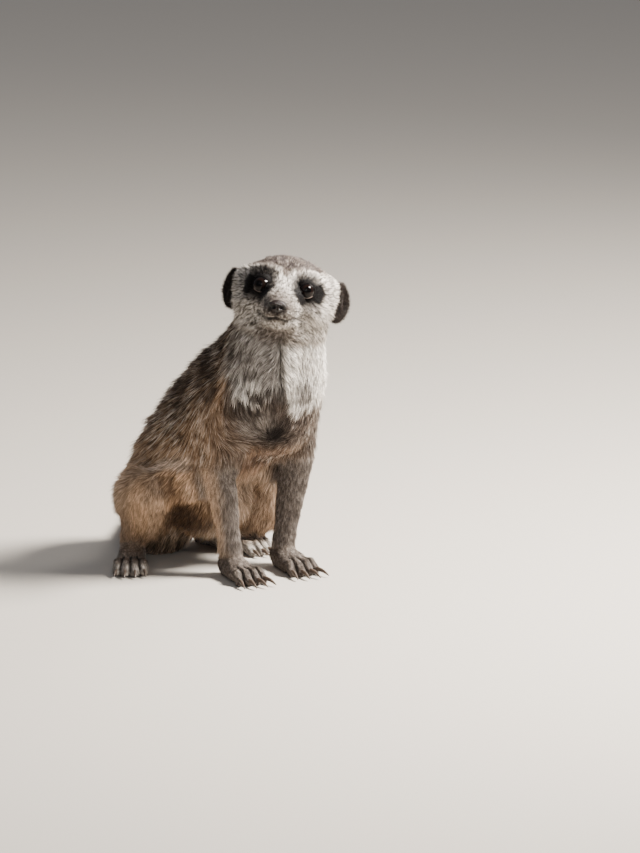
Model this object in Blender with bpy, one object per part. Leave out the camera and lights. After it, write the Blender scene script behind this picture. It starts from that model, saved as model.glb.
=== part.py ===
"""A meerkat sitting on its haunches with straight forelegs, its head turned to its right: a still, life-size figure.

The animal faces -Y and its left side is +X. Flesh is modelled whole, from lofted muscles and ellipsoids that are
fused and smoothed, and is then parted at the joints by thin curved or flat cuts. Eyes, nose, ears and claws are
solids of their own, set into the flesh. All lengths below are in millimetres.
"""

import math

import bmesh
import bpy
from mathutils import Matrix, Vector

MM = 0.001
GAP = 0.3  # clearance between neighbouring parts
FUSE = 0.9  # grain at which the lofts are fused into one flesh
FLESH_TRIANGLES = 2080
FLOOR = 1.2  # the soles, rump and tail are cut flat at this height, which ends up at zero
LEFT, RIGHT = 1, -1
SIDES = {LEFT: "left", RIGHT: "right"}

# Trunk and neck, from the rump to the nape: centre x, y, z, then half width and half depth.
SPINE = [
    (0, 34, 14, 19, 14),
    (0, 27, 29, 28, 23),
    (0, 18, 46, 33, 29),
    (0, 4, 64, 34, 31),
    (2, -15, 83, 36, 34),
    (5, -33, 100, 37, 35),
    (6, -44, 115, 35, 32),
    (5, -51, 129, 30, 27),
    (5, -56, 144, 27, 24),
    (5, -58, 156, 24, 23),
]

# The head, whose own axes are x to its left, y to its nape and z to its crown.
HEAD_CENTRE = Vector((5, -59, 160))
HEAD_TURN, HEAD_LIFT, HEAD_TILT = -47, -12, 7.5  # degrees: to its right, nose up, left ear down
EYE_RADIUS = 4.9
EYE_CENTRE = (12.0, -20.0, 1.4)
NOSE_CENTRE = (0, -48.3, -9.4)
NOSE_RADII = (4.8, 3.4, 3.5)
EAR_CENTRE = (28.4, 5.5, -2.3)
EAR_RADII = (2.6, 7.7, 10.2)  # thickness, depth and height of the flap
EAR_FLARE = 33  # degrees that the flap stands out from the side of the head
EAR_CUP = (3.4, 0, 0)  # how far out from the flap the hollow of its cup lies

# Limbs: each joint's centre, on the right and on the left.
SHOULDER = {RIGHT: (-19, -35, 95), LEFT: (28, -42, 96)}
ELBOW = {RIGHT: (-20, -32, 62), LEFT: (28, -43, 62)}
WRIST = {RIGHT: (-13, -35, 14), LEFT: (22, -39, 14)}
HIP = {RIGHT: (-16, 29, 33), LEFT: (16, 29, 33)}
KNEE = {RIGHT: (-41, 0, 48), LEFT: (41, -4, 46)}
HOCK = {RIGHT: (-23, 34, 13), LEFT: (31, 33, 13)}
CALF_SAG = {RIGHT: (0, 0, 0), LEFT: (3, -14, -6)}  # from the line between knee and hock
CALF_RADII = {RIGHT: (9.5, 12), LEFT: (12, 15)}
PAW_HEADING = {RIGHT: 16, LEFT: 15}  # degrees that a forepaw turns to the right
FOOT_HEADING = {RIGHT: 44, LEFT: -4}
TOES = 4
FOREPAW = {"palm": 15, "width": 8.6, "toe": 10.5, "toe_radius": 3.1, "pitch": 4.6, "fan": 8, "claw": 11.5}
HIND_FOOT = {"palm": 33, "width": 8.2, "toe": 11.5, "toe_radius": 3.2, "pitch": 4.7, "fan": 7, "claw": 7.5}
KNUCKLE_HEIGHT = 7.2
CLAW_RADIUS = 1.5
CLAW_SIDES = 5
# Along a claw, from its bed in the toe to its point: share of its length, droop and share of its thickness.
CLAW_CURVE = [(-0.1, 0.2, 0.9), (0.4, 0, 0.9), (0.75, 1.0, 0.55), (1, 2.3, 0.14)]

# Tail, from its root in the rump to its tip: centre x, y, z and radius.
TAIL = [
    (1, 36, 20, 13.5),
    (8, 54, 12.4, 10.7),
    (21, 73, 8.7, 8.2),
    (40, 93, 7.2, 6.7),
    (63, 114, 6.3, 5.8),
    (89, 137, 5.7, 5.2),
    (111, 160, 5.2, 4.7),
    (121, 176, 4.7, 4.2),
]
# Flat cuts: the plane's centre, the way it faces and how far its block reaches.
HEAD_CUT = ((5, -56, 142), (0.05, -0.3, 1), 120)
NECK_CUT = ((5, -44, 117), (0.05, -0.45, 0.9), 120)
WAIST_CUT = ((3, -20, 88), (0.05, -0.72, 0.7), 120)
TAIL_CUTS = [(3, 4), (5, 6)]  # stations between which the tail is parted into lengths


def material(name, colour, roughness=0.9):
    """A plain finish for the solids."""
    made = bpy.data.materials.new(name)
    made.use_nodes = True
    shader = made.node_tree.nodes["Principled BSDF"]
    shader.inputs["Base Color"].default_value = (*colour, 1)
    shader.inputs["Roughness"].default_value = roughness
    shader.inputs["Metallic"].default_value = 0
    return made


def clear_scene():
    for old in list(bpy.data.objects):
        bpy.data.objects.remove(old)


def head_matrix():
    turn = Matrix.Rotation(math.radians(HEAD_TURN), 4, "Z")
    lift = Matrix.Rotation(math.radians(HEAD_LIFT), 4, "X")
    tilt = Matrix.Rotation(math.radians(HEAD_TILT), 4, "Y")
    return Matrix.Translation(HEAD_CENTRE) @ turn @ lift @ tilt


def between(a, b, share):
    return tuple(p + (q - p) * share for p, q in zip(a, b))


def smooth_stations(stations, steps):
    """Catmull-Rom through the stations, each of which is any number of values."""
    ends = [stations[0]] + list(stations) + [stations[-1]]
    fine = []
    for before, start, end, after in zip(ends, ends[1:], ends[2:], ends[3:]):
        for step in range(steps):
            t = step / steps
            fine.append(
                [
                    0.5
                    * (
                        2 * q
                        + (r - p) * t
                        + (2 * p - 5 * q + 4 * r - s) * t**2
                        + (3 * q - p - 3 * r + s) * t**3
                    )
                    for p, q, r, s in zip(before, start, end, after)
                ]
            )
    fine.append(list(stations[-1]))
    return fine


def rounded_ends(stations, angles):
    """Adds shrinking stations past both ends, so that a loft closes in a dome."""
    first, last = Vector(stations[0][:3]), Vector(stations[-1][:3])
    start_way = (first - Vector(stations[1][:3])).normalized()
    end_way = (last - Vector(stations[-2][:3])).normalized()
    head, tail = [], []
    for angle in angles:
        out, keep = math.sin(math.radians(angle)), math.cos(math.radians(angle))
        for at, way, station, into in ((first, start_way, stations[0], head), (last, end_way, stations[-1], tail)):
            wide, deep = station[3], station[4]
            point = at + way * out * min(wide, deep)
            into.append([*point, wide * keep, deep * keep])
    return head + stations + tail[::-1]


def loft(mesh, stations, side=(1, 0, 0), steps=4, around=20, place=None, grow=0, dome=(80, 60, 35)):
    """Adds a closed tube through stations (x, y, z, half width, half depth) to mesh."""
    stations = [list(s) if len(s) == 5 else [*s, s[3]] for s in stations]
    stations = [[*s[:3], s[3] + grow, s[4] + grow] for s in stations]
    fine = rounded_ends(smooth_stations(stations, steps), dome)
    across = Vector(side)
    rings = []
    for i, station in enumerate(fine):
        ahead = Vector(fine[min(i + 1, len(fine) - 1)][:3])
        behind = Vector(fine[max(i - 1, 0)][:3])
        way = (ahead - behind).normalized()
        across = (across - way * across.dot(way)).normalized()
        up = way.cross(across)
        centre, wide, deep = Vector(station[:3]), station[3], station[4]
        ring = []
        for k in range(around):
            turn = 2 * math.pi * k / around
            point = centre + across * wide * math.cos(turn) + up * deep * math.sin(turn)
            if place:
                point = place @ point
            ring.append(mesh.verts.new(point * MM))
        rings.append(ring)
    for near, far in zip(rings, rings[1:]):
        for k in range(around):
            after = (k + 1) % around
            mesh.faces.new((near[k], near[after], far[after], far[k]))
    mesh.faces.new(rings[0][::-1])
    mesh.faces.new(rings[-1])


def ellipsoid(mesh, centre, radii, place=None, turn=None, rings=12, grow=0):
    """Adds an ellipsoid to mesh. turn rotates it about its own centre before place moves it."""
    shape = Matrix.Diagonal((*[(r + grow) * MM for r in radii], 1))
    put = Matrix.Translation(Vector(centre) * MM) @ (turn or Matrix.Identity(4)) @ shape
    if place:
        move = place.copy()
        move.translation = place.translation * MM
        put = move @ put
    bmesh.ops.create_uvsphere(mesh, u_segments=2 * rings, v_segments=rings, radius=1, matrix=put)


def new_object(name, mesh):
    """Turns a bmesh into an object, with its faces pointing out."""
    bmesh.ops.recalc_face_normals(mesh, faces=mesh.faces)
    data = bpy.data.meshes.new(name)
    mesh.to_mesh(data)
    mesh.free()
    made = bpy.data.objects.new(name, data)
    bpy.context.scene.collection.objects.link(made)
    return made


def apply_modifiers(target):
    """Bakes an object's modifiers into its mesh."""
    graph = bpy.context.evaluated_depsgraph_get()
    finished = bpy.data.meshes.new_from_object(target.evaluated_get(graph))
    target.modifiers.clear()
    target.data = finished


def combine(target, helper, operation):
    """Cuts the target by a helper solid, or keeps only what they share, and removes the helper."""
    change = target.modifiers.new(operation, "BOOLEAN")
    change.operation = operation
    change.object = helper
    apply_modifiers(target)
    bpy.data.objects.remove(helper)


def copy_of(source, name):
    made = bpy.data.objects.new(name, source.data.copy())
    bpy.context.scene.collection.objects.link(made)
    return made


# ---- muscles and bones under the coat -------------------------------------------------------------------------


def add_trunk(mesh):
    loft(mesh, SPINE, around=28)
    # The breast, between the shoulders, and the soft belly between the thighs.
    ellipsoid(mesh, (7, -44, 93), (27, 25, 28))
    ellipsoid(mesh, (0, 0, 42), (27, 26, 25))
    # A fold of skin from each knee to the flank, as far as the elbow.
    for side in SIDES:
        loft(mesh, [(*KNEE[side], 10, 12), (31 * side, -11, 53, 10, 14), (20 * side, -22, 60, 9, 15)])


def add_head(mesh):
    place = head_matrix()
    ellipsoid(mesh, (0, 3, -0.5), (26, 26, 20.5), place)
    muzzle = [(0, -12, -2, 17, 15), (0, -26, -7, 11.5, 11), (0, -37, -10.2, 8.6, 7.8), (0, -44.5, -11, 6.4, 5.6)]
    loft(mesh, muzzle, place=place)
    loft(mesh, [(0, -4, -13, 15, 8), (0, -24, -16.5, 9.5, 5.5), (0, -37, -17.2, 6, 3.8)], place=place)
    ellipsoid(mesh, (0, 10, -12), (21, 18, 14), place)
    for side in SIDES:
        ellipsoid(mesh, (14 * side, -2, -8), (13, 18, 13), place)
        ellipsoid(mesh, (11.5 * side, -12, 5), (10, 10.5, 8), place)
        ellipsoid(mesh, (11.5 * side, -18, -4), (7, 7.5, 7), place)
        ellipsoid(mesh, (21 * side, 1, 2), (8, 12, 11), place)


def add_foreleg(mesh, side):
    shoulder, elbow, wrist = SHOULDER[side], ELBOW[side], WRIST[side]
    loft(mesh, [(*shoulder, 13, 18), (*between(shoulder, elbow, 0.55), 11.5, 14), (*elbow, 9.5, 11)])
    upper, lower = between(elbow, wrist, 0.35), between(elbow, wrist, 0.75)
    loft(mesh, [(*elbow, 9, 10.5), (*upper, 7.9, 8.5), (*lower, 6.4, 6.8), (*wrist, 6.3, 6.6)])


def calf_centre(side):
    return tuple(a + b for a, b in zip(between(KNEE[side], HOCK[side], 0.4), CALF_SAG[side]))


def add_hind_leg(mesh, side):
    hip, knee, hock = HIP[side], KNEE[side], HOCK[side]
    loft(mesh, [(*hip, 19, 22), (*between(hip, knee, 0.5), 17, 19), (*knee, 11, 12)])
    loft(mesh, [(*knee, 10.5, 11), (*calf_centre(side), *CALF_RADII[side]), (*hock, 6.8, 8)])


def foot_frame(start, heading):
    """A foot's own frame: its origin on the floor under start, and -y ahead, turned to the right by heading."""
    return Matrix.Translation((start[0], start[1], 0)) @ Matrix.Rotation(math.radians(-heading), 4, "Z")


def toe_line(build, toe):
    """A toe's root, knuckle and tip, and its way ahead, in its foot's frame."""
    place = toe - (TOES - 1) / 2
    fan = math.radians(-place * build["fan"])
    ahead = Vector((-math.sin(fan), -math.cos(fan), 0))
    inner = 1 - 0.11 * abs(place) ** 1.5
    root = Vector((place * build["pitch"] * 0.8, -build["palm"], KNUCKLE_HEIGHT - 1))
    knuckle = root + ahead * build["toe"] * 0.5 * inner + Vector((0, 0, 0.8))
    tip = root + ahead * build["toe"] * inner + Vector((0, 0, -2.6))
    return root, knuckle, tip, ahead


def add_foot(mesh, build, start, heading):
    place = foot_frame(start, heading)
    height, wide = start[2], build["width"]
    back = (0, 3, height * 0.62, wide * 0.72, height * 0.62)
    middle = (0, -build["palm"] * 0.5, 6.6, wide * 0.92, 6.2)
    front = (0, -build["palm"], 5.4, wide, 4.8)
    loft(mesh, [back, middle, front], place=place)
    for toe in range(TOES):
        root, knuckle, tip, _ = toe_line(build, toe)
        radius = build["toe_radius"]
        loft(mesh, [(*root, radius), (*knuckle, radius), (*tip, radius * 0.86)], place=place, around=14)


def add_claw(mesh, build, start, heading, toe, grow=0):
    """A curved claw that grows from inside the toe's tip and bends down to the floor."""
    _, _, tip, ahead = toe_line(build, toe)
    place = foot_frame(start, heading)
    side = ahead.cross(Vector((0, 0, 1)))
    rings = []
    for share, droop, thick in CLAW_CURVE:
        centre = tip + ahead * (share * build["claw"]) + Vector((0, 0, 1.2 - droop))
        radius = CLAW_RADIUS * thick + grow
        ring = []
        for k in range(CLAW_SIDES):
            turn = 2 * math.pi * k / CLAW_SIDES
            point = centre + side * radius * 0.8 * math.cos(turn) + Vector((0, 0, radius * math.sin(turn)))
            ring.append(mesh.verts.new(place @ point * MM))
        rings.append(ring)
    for near, far in zip(rings, rings[1:]):
        for k in range(CLAW_SIDES):
            after = (k + 1) % CLAW_SIDES
            mesh.faces.new((near[k], near[after], far[after], far[k]))
    mesh.faces.new(rings[0][::-1])
    mesh.faces.new(rings[-1])


def add_tail(mesh):
    loft(mesh, [(*s, s[3]) for s in TAIL])


def ear_turn(side):
    return Matrix.Rotation(math.radians(-side * (90 - EAR_FLARE) * 0.62), 4, "Z")


def add_ear(mesh, side, grow=0):
    x, y, z = EAR_CENTRE
    ellipsoid(mesh, (x * side, y, z), EAR_RADII, head_matrix(), ear_turn(side), rings=6, grow=grow)


def add_ear_hollow(mesh, side):
    """The hollow of the ear's cup, which opens outwards and ahead."""
    turn = ear_turn(side)
    centre = Vector((EAR_CENTRE[0] * side, *EAR_CENTRE[1:])) + turn @ Vector((EAR_CUP[0] * side, 0, 0))
    radii = (EAR_RADII[0] * 1.4, EAR_RADII[1] * 0.85, EAR_RADII[2] * 0.85)
    ellipsoid(mesh, centre, radii, head_matrix(), turn, rings=6)


def add_eye(mesh, side, grow=0):
    x, y, z = EYE_CENTRE
    ellipsoid(mesh, (x * side, y, z), [EYE_RADIUS] * 3, head_matrix(), rings=7, grow=grow)


def add_nose(mesh, grow=0):
    ellipsoid(mesh, NOSE_CENTRE, NOSE_RADII, head_matrix(), rings=6, grow=grow)


def feet():
    """Every foot: its name, its build, where it starts and where it heads."""
    for side, word in SIDES.items():
        yield f"forepaw_{word}", FOREPAW, WRIST[side], PAW_HEADING[side]
        yield f"hind_foot_{word}", HIND_FOOT, HOCK[side], FOOT_HEADING[side]


# ---- fusing and parting ---------------------------------------------------------------------------------------


def ramp(value, low, high):
    """0 below low, 1 above high and straight between them."""
    return min(max((value - low) / (high - low), 0), 1)


def breadth(point):
    """How far a point belongs to the broad body, from 0 on the tail and the lower legs to 1 on the trunk."""
    from_spine = min((point - Vector(s[:3])).length / s[3] for s in SPINE)
    inside = 1 - ramp(from_spine, 1.5, 1.9)
    above_feet = ramp(point.z, 14, 26)
    above_elbow = ramp(point.z, 50, 66) if point.y < -20 else 1
    before_tail = 1 - ramp(point.y, 42, 54)
    return inside * above_feet * above_elbow * before_tail


def whole_flesh():
    """All the flesh as one smooth closed mesh, standing on the floor on small flats."""
    mesh = bmesh.new()
    add_trunk(mesh)
    add_head(mesh)
    add_tail(mesh)
    for side in SIDES:
        add_foreleg(mesh, side)
        add_hind_leg(mesh, side)
    for _, build, start, heading in feet():
        add_foot(mesh, build, start, heading)
    flesh = new_object("flesh", mesh)
    fuse = flesh.modifiers.new("fuse", "REMESH")
    fuse.mode = "VOXEL"
    fuse.voxel_size = FUSE * MM
    apply_modifiers(flesh)
    # The body's muscles run into one another; the muzzle, the lower legs, the feet and the tail keep their shape.
    broad = flesh.vertex_groups.new(name="broad")
    for point in flesh.data.vertices:
        broad.add([point.index], breadth(point.co / MM), "REPLACE")
    for group, rounds in (("", 5), ("broad", 110)):
        soften = flesh.modifiers.new("soften", "SMOOTH")
        soften.factor = 0.5
        soften.iterations = rounds
        soften.vertex_group = group
    apply_modifiers(flesh)
    thin = flesh.modifiers.new("thin", "DECIMATE")
    thin.ratio = FLESH_TRIANGLES / (2 * len(flesh.data.polygons))
    apply_modifiers(flesh)
    return flesh


def helper_solid(name, build, *values):
    """A closed solid for cutting, which isn't part of the figure."""
    mesh = bmesh.new()
    build(mesh, *values)
    made = new_object(name, mesh)
    made.hide_render = True
    made.display_type = "WIRE"
    return made


def beyond(mesh, centre, way, reach, grow=0):
    """A block that holds everything past a plane through centre and square to way, out to reach."""
    turn = Vector((0, 0, 1)).rotation_difference(Vector(way)).to_matrix().to_4x4()
    middle = Vector(centre) + Vector(way).normalized() * (reach / 2 - grow)
    size = Matrix.Diagonal((2 * reach * MM, 2 * reach * MM, reach * MM, 1))
    bmesh.ops.create_cube(mesh, size=1, matrix=Matrix.Translation(middle * MM) @ turn @ size)


def below_floor(mesh):
    put = Matrix.Translation(Vector((0, 60, FLOOR - 20)) * MM) @ Matrix.Diagonal((0.4, 0.5, 0.04, 1))
    bmesh.ops.create_cube(mesh, size=1, matrix=put)


def largest_body(target):
    """Keeps the largest closed shell and drops any crumbs a cut leaves."""
    mesh = bmesh.new()
    mesh.from_mesh(target.data)
    shells, seen = [], set()
    for face in mesh.faces:
        if face in seen:
            continue
        shell, queue = [], [face]
        seen.add(face)
        while queue:
            near = queue.pop()
            shell.append(near)
            for edge in near.edges:
                for other in edge.link_faces:
                    if other not in seen:
                        seen.add(other)
                        queue.append(other)
        shells.append(shell)
    shells.sort(key=lambda shell: sum(f.calc_area() for f in shell))
    for shell in shells[:-1]:
        bmesh.ops.delete(mesh, geom=shell, context="FACES")
    mesh.to_mesh(target.data)
    mesh.free()


def finish_piece(piece, finish):
    piece.data.materials.clear()
    piece.data.materials.append(finish)
    piece.data.shade_smooth()
    piece.data.set_sharp_from_angle(angle=math.radians(50))
    piece.hide_render = False
    piece.display_type = "TEXTURED"
    return piece


def set_in(rest, name, finish, build, *values):
    """Makes a piece of its own, and its bed in the rest with a thin gap round it."""
    piece = helper_solid(name, build, *values)
    combine(rest, helper_solid("bed", build, *values, GAP), "DIFFERENCE")
    return finish_piece(piece, finish)


def part_off(rest, name, finish, build, *values):
    """Parts the piece inside a region from the rest, with a thin gap between them."""
    piece = copy_of(rest, name)
    combine(piece, helper_solid("inner", build, *values), "INTERSECT")
    combine(rest, helper_solid("outer", build, *values, GAP), "DIFFERENCE")
    largest_body(piece)
    return finish_piece(piece, finish)


# ---- where each limb's parts end: a region that holds the whole part ---------------------------------------------


REGION = {"around": 10, "steps": 2, "dome": (70,)}


def foot_region(mesh, build, start, heading, grow=0):
    height, wide, palm = start[2], build["width"], build["palm"]
    stations = [
        (0, 2.5, height * 0.55, wide * 0.8 + 2, height * 0.58),
        (0, -palm * 0.5, 6.5, wide + 2, 7.8),
        (0, -palm, 6, wide + 3, 8.2),
        (0, -palm - build["toe"], 5, wide + 6, 8),
    ]
    loft(mesh, stations, place=foot_frame(start, heading), grow=grow, **REGION)


def forearm_region(mesh, side, grow=0):
    elbow, wrist = ELBOW[side], WRIST[side]
    lower = (wrist[0], wrist[1], 5)
    loft(mesh, [(*elbow, 12, 14), (*between(elbow, wrist, 0.5), 11, 11.5), (*lower, 11, 12)], grow=grow, **REGION)


def upper_arm_region(mesh, side, grow=0):
    shoulder, elbow = SHOULDER[side], ELBOW[side]
    stations = [(*shoulder, 15, 20.5), (*between(shoulder, elbow, 0.55), 15, 17.5), (*elbow, 14, 15.5)]
    loft(mesh, stations, grow=grow, **REGION)


def shank_region(mesh, side, grow=0):
    knee, hock = KNEE[side], HOCK[side]
    wide, deep = CALF_RADII[side]
    stations = [(*knee, 12, 13), (*calf_centre(side), wide + 2.5, deep + 2), (*hock, 10.5, 12)]
    loft(mesh, stations, grow=grow, **REGION)


def thigh_region(mesh, side, grow=0):
    hip, knee = HIP[side], KNEE[side]
    hip = (hip[0] + 8 * side, hip[1], hip[2])
    stations = [(*hip, 21, 24), (*between(hip, knee, 0.5), 20, 22), (*knee, 15, 16)]
    loft(mesh, stations, grow=grow, **REGION)


def tail_region(mesh, grow=0):
    loft(mesh, [(*s[:3], s[3] + 2.2) for s in TAIL[1:]], grow=grow, **REGION)


def tail_beyond(mesh, cut, grow=0):
    """The tail past a cut between two of its stations."""
    near, far = Vector(TAIL[cut[0]][:3]), Vector(TAIL[cut[1]][:3])
    beyond(mesh, (near + far) / 2, far - near, 150, grow=grow)


# ---- the pieces -----------------------------------------------------------------------------------------------


def set_in_features(rest):
    """Eyes, ears, nose and claws, each a piece of its own in a bed in the flesh."""
    eye_finish = material("eye", (0.012, 0.007, 0.004), 0.08)
    ear_finish = material("black ear coat", (0.020, 0.015, 0.012))
    nose_finish = material("nose skin", (0.07, 0.048, 0.04), 0.45)
    horn = material("claw horn", (0.10, 0.072, 0.05), 0.4)
    pieces = [set_in(rest, "nose", nose_finish, add_nose)]
    for side, word in SIDES.items():
        pieces.append(set_in(rest, f"eye_{word}", eye_finish, add_eye, side))
        ear = set_in(rest, f"ear_{word}", ear_finish, add_ear, side)
        combine(ear, helper_solid("hollow", add_ear_hollow, side), "DIFFERENCE")
        pieces.append(finish_piece(ear, ear_finish))
    for name, build, start, heading in feet():
        for toe in range(TOES):
            claw_name = f"claw_{name}_{toe + 1}"
            pieces.append(set_in(rest, claw_name, horn, add_claw, build, start, heading, toe))
    return pieces


def part_flesh(rest):
    """Parts the flesh into feet, limbs, tail, head, neck, chest and loins."""
    grizzled = material("grizzled coat", (0.15, 0.10, 0.065))
    pale = material("pale coat", (0.50, 0.43, 0.37))
    tan = material("tan coat", (0.24, 0.16, 0.10))
    tail_coat = material("tail coat", (0.27, 0.18, 0.10))
    pieces = []
    for name, build, start, heading in feet():
        pieces.append(part_off(rest, name, tan, foot_region, build, start, heading))
    for side, word in SIDES.items():
        pieces.append(part_off(rest, f"shank_{word}", tan, shank_region, side))
        pieces.append(part_off(rest, f"thigh_{word}", tan, thigh_region, side))
        pieces.append(part_off(rest, f"forearm_{word}", tan, forearm_region, side))
        pieces.append(part_off(rest, f"upper_arm_{word}", grizzled, upper_arm_region, side))
    tail = part_off(rest, "tail_root", tail_coat, tail_region)
    for name, stations in (("tail_tip", TAIL_CUTS[1]), ("tail_middle", TAIL_CUTS[0])):
        pieces.append(part_off(tail, name, tail_coat, tail_beyond, stations))
    pieces.append(tail)
    for name, finish, plane in (("head", pale, HEAD_CUT), ("neck", pale, NECK_CUT), ("chest", grizzled, WAIST_CUT)):
        pieces.append(part_off(rest, name, finish, beyond, *plane))
    rest.name = "loins"
    largest_body(rest)
    pieces.append(finish_piece(rest, grizzled))
    return pieces


def stand_at_origin(pieces):
    """Moves the middle of the figure's footprint to the origin, with its soles on the floor."""
    corners = [v.co for piece in pieces for v in piece.data.vertices]
    low = Vector([min(c[axis] for c in corners) for axis in range(3)])
    high = Vector([max(c[axis] for c in corners) for axis in range(3)])
    move = Matrix.Translation((-(low.x + high.x) / 2, -(low.y + high.y) / 2, -low.z))
    for piece in pieces:
        piece.data.transform(move)
    return move


clear_scene()
flesh = whole_flesh()
combine(flesh, helper_solid("ground", below_floor), "DIFFERENCE")
features = set_in_features(flesh)
to_origin = stand_at_origin(features + part_flesh(flesh))
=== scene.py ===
"""A still, life-size meerkat that sits on its rump with straight forelegs and looks past its right shoulder.

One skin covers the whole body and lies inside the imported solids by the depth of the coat. The coat is solid
tufts that grow from it along the lie of the hair. Eyes, nose, whiskers and claws are pieces of their own.
Places and sizes in the tables are in millimetres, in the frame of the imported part. "In the head" means the
head's own axes, with x to the animal's left, y to its nape and z to its crown.
"""

import math
from contextlib import contextmanager

import bmesh
import bpy
import numpy as np
from mathutils import Matrix, Vector
from mathutils.bvhtree import BVHTree


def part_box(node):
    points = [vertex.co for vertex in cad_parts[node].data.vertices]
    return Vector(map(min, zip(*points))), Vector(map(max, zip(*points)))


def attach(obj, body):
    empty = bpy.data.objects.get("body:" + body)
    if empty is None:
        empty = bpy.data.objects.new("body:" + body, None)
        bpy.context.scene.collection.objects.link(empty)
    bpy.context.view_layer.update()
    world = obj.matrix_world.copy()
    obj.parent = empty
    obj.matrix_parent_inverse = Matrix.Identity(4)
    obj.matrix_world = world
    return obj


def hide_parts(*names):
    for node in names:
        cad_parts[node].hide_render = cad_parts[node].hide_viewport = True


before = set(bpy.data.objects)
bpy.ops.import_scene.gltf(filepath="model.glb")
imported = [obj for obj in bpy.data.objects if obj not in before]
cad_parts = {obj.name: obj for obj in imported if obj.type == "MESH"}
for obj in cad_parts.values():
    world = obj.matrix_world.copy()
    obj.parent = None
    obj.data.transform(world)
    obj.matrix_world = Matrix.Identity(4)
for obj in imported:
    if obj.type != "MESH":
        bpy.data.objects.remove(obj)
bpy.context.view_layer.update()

MM = 0.001
LEFT, RIGHT = 1, -1
SIDES = {LEFT: "left", RIGHT: "right"}

# ---- camera, lights and floor ----

CAMERA_TARGET = (25.6, -74.7, 72.8)
CAMERA_TURN, CAMERA_RISE, CAMERA_DISTANCE = -44, 12, 3200
CAMERA_LENS = 245.5
FLOOR_SIZE = 6000
LIGHTS_TARGET = (0, -40, 80)
# Each light: degrees round from the camera, degrees up, distance, size, power and colour.
LIGHTS = {
    "key_box": (76, 46, 900, 260, 58.0, (1.0, 0.95, 0.88)),
    "back_box": (140, 30, 1100, 500, 6.0, (1.0, 0.95, 0.88)),
    "front_box": (-30, 30, 1500, 500, 0.7, (0.95, 0.97, 1.0)),
    "eye_light": (3, 24, 1000, 50, 1.3, (1.0, 1.0, 1.0)),
}
WORLD_STRENGTH = 0.34


def outward(turn, rise):
    """The unit vector that points from the animal to a place at that turn and rise."""
    turn, rise = math.radians(turn), math.radians(rise)
    flat = math.cos(rise)
    return Vector((math.sin(turn) * flat, -math.cos(turn) * flat, math.sin(rise)))


def new_object(name, data):
    made = bpy.data.objects.new(name, data)
    bpy.context.scene.collection.objects.link(made)
    return made


def look_back(thing, centre, way, distance):
    """Stands a thing that far from the centre, facing it."""
    thing.location = (Vector(centre) + way * distance) * MM
    thing.rotation_euler = (-way).to_track_quat("-Z", "Y").to_euler()


def add_camera():
    lens = bpy.data.cameras.new("camera")
    lens.lens = CAMERA_LENS
    lens.sensor_width = 36
    lens.clip_start, lens.clip_end = 0.05, 30
    camera = new_object("camera", lens)
    look_back(camera, CAMERA_TARGET, outward(CAMERA_TURN, CAMERA_RISE), CAMERA_DISTANCE)
    bpy.context.scene.camera = camera


def add_lights():
    for name, (turn, rise, distance, size, power, colour) in LIGHTS.items():
        lamp = bpy.data.lights.new(name, "AREA")
        lamp.shape = "DISK"
        lamp.size = size * MM
        lamp.energy = power
        lamp.color = colour
        look_back(new_object(name, lamp), LIGHTS_TARGET, outward(CAMERA_TURN + turn, rise), distance)
    world = bpy.data.worlds.new("studio")
    world.use_nodes = True
    background = world.node_tree.nodes["Background"]
    background.inputs["Color"].default_value = (0.9, 0.93, 1.0, 1)
    background.inputs["Strength"].default_value = WORLD_STRENGTH
    bpy.context.scene.world = world


# ---- nodes ----


class Wiring:
    """Adds nodes to a tree. A socket given as a value is linked, and any other value is set on the input."""

    def __init__(self, tree):
        self.tree = tree

    def add(self, kind, inputs=(), **settings):
        node = self.tree.nodes.new(kind)
        for name, value in settings.items():
            setattr(node, name, value)
        pairs = inputs.items() if isinstance(inputs, dict) else enumerate(inputs)
        for key, value in pairs:
            if value is not None:
                self.join(value, node.inputs[key])
        return node

    def join(self, value, socket):
        if isinstance(value, bpy.types.NodeSocket):
            self.tree.links.new(value, socket)
        else:
            socket.default_value = value

    def geometry(self, kind, inputs, **settings):
        return self.add("GeometryNode" + kind, inputs, **settings).outputs[0]

    def math(self, operation, a, b=None):
        return self.add("ShaderNodeMath", (a, b), operation=operation).outputs[0]

    def times(self, product, *factors):
        for factor in factors:
            product = self.math("MULTIPLY", product, factor)
        return product

    def vector(self, operation, a, b=None):
        node = self.add("ShaderNodeVectorMath", (a, b), operation=operation)
        return node.outputs["Value" if operation == "DOT_PRODUCT" else "Vector"]

    def joined(self, x, y, z):
        return self.add("ShaderNodeCombineXYZ", (x, y, z)).outputs[0]

    def scaled(self, vector, share):
        return self.add("ShaderNodeVectorMath", {0: vector, "Scale": share}, operation="SCALE").outputs[0]

    def ramp(self, value, low, high, out_low=0.0, out_high=1.0):
        """out_low up to low, out_high from high on, and a soft step between them."""
        inputs = {"Value": value, 1: low, 2: high, 3: out_low, 4: out_high}
        return self.add("ShaderNodeMapRange", inputs, interpolation_type="SMOOTHSTEP").outputs["Result"]

    def mix(self, share, a, b, blend="MIX"):
        inputs = {0: share, 6: a, 7: b}  # sockets 6 and 7 are the two colours
        return self.add("ShaderNodeMix", inputs, data_type="RGBA", blend_type=blend).outputs[2]

    def noise(self, place, scale, detail):
        inputs = {"Vector": place, "Scale": scale, "Detail": detail}
        return self.add("ShaderNodeTexNoise", inputs).outputs

    def attribute(self, name):
        return self.add("ShaderNodeAttribute", attribute_name=name).outputs

    def parts(self, vector):
        return self.add("ShaderNodeSeparateXYZ", (vector,)).outputs


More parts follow.
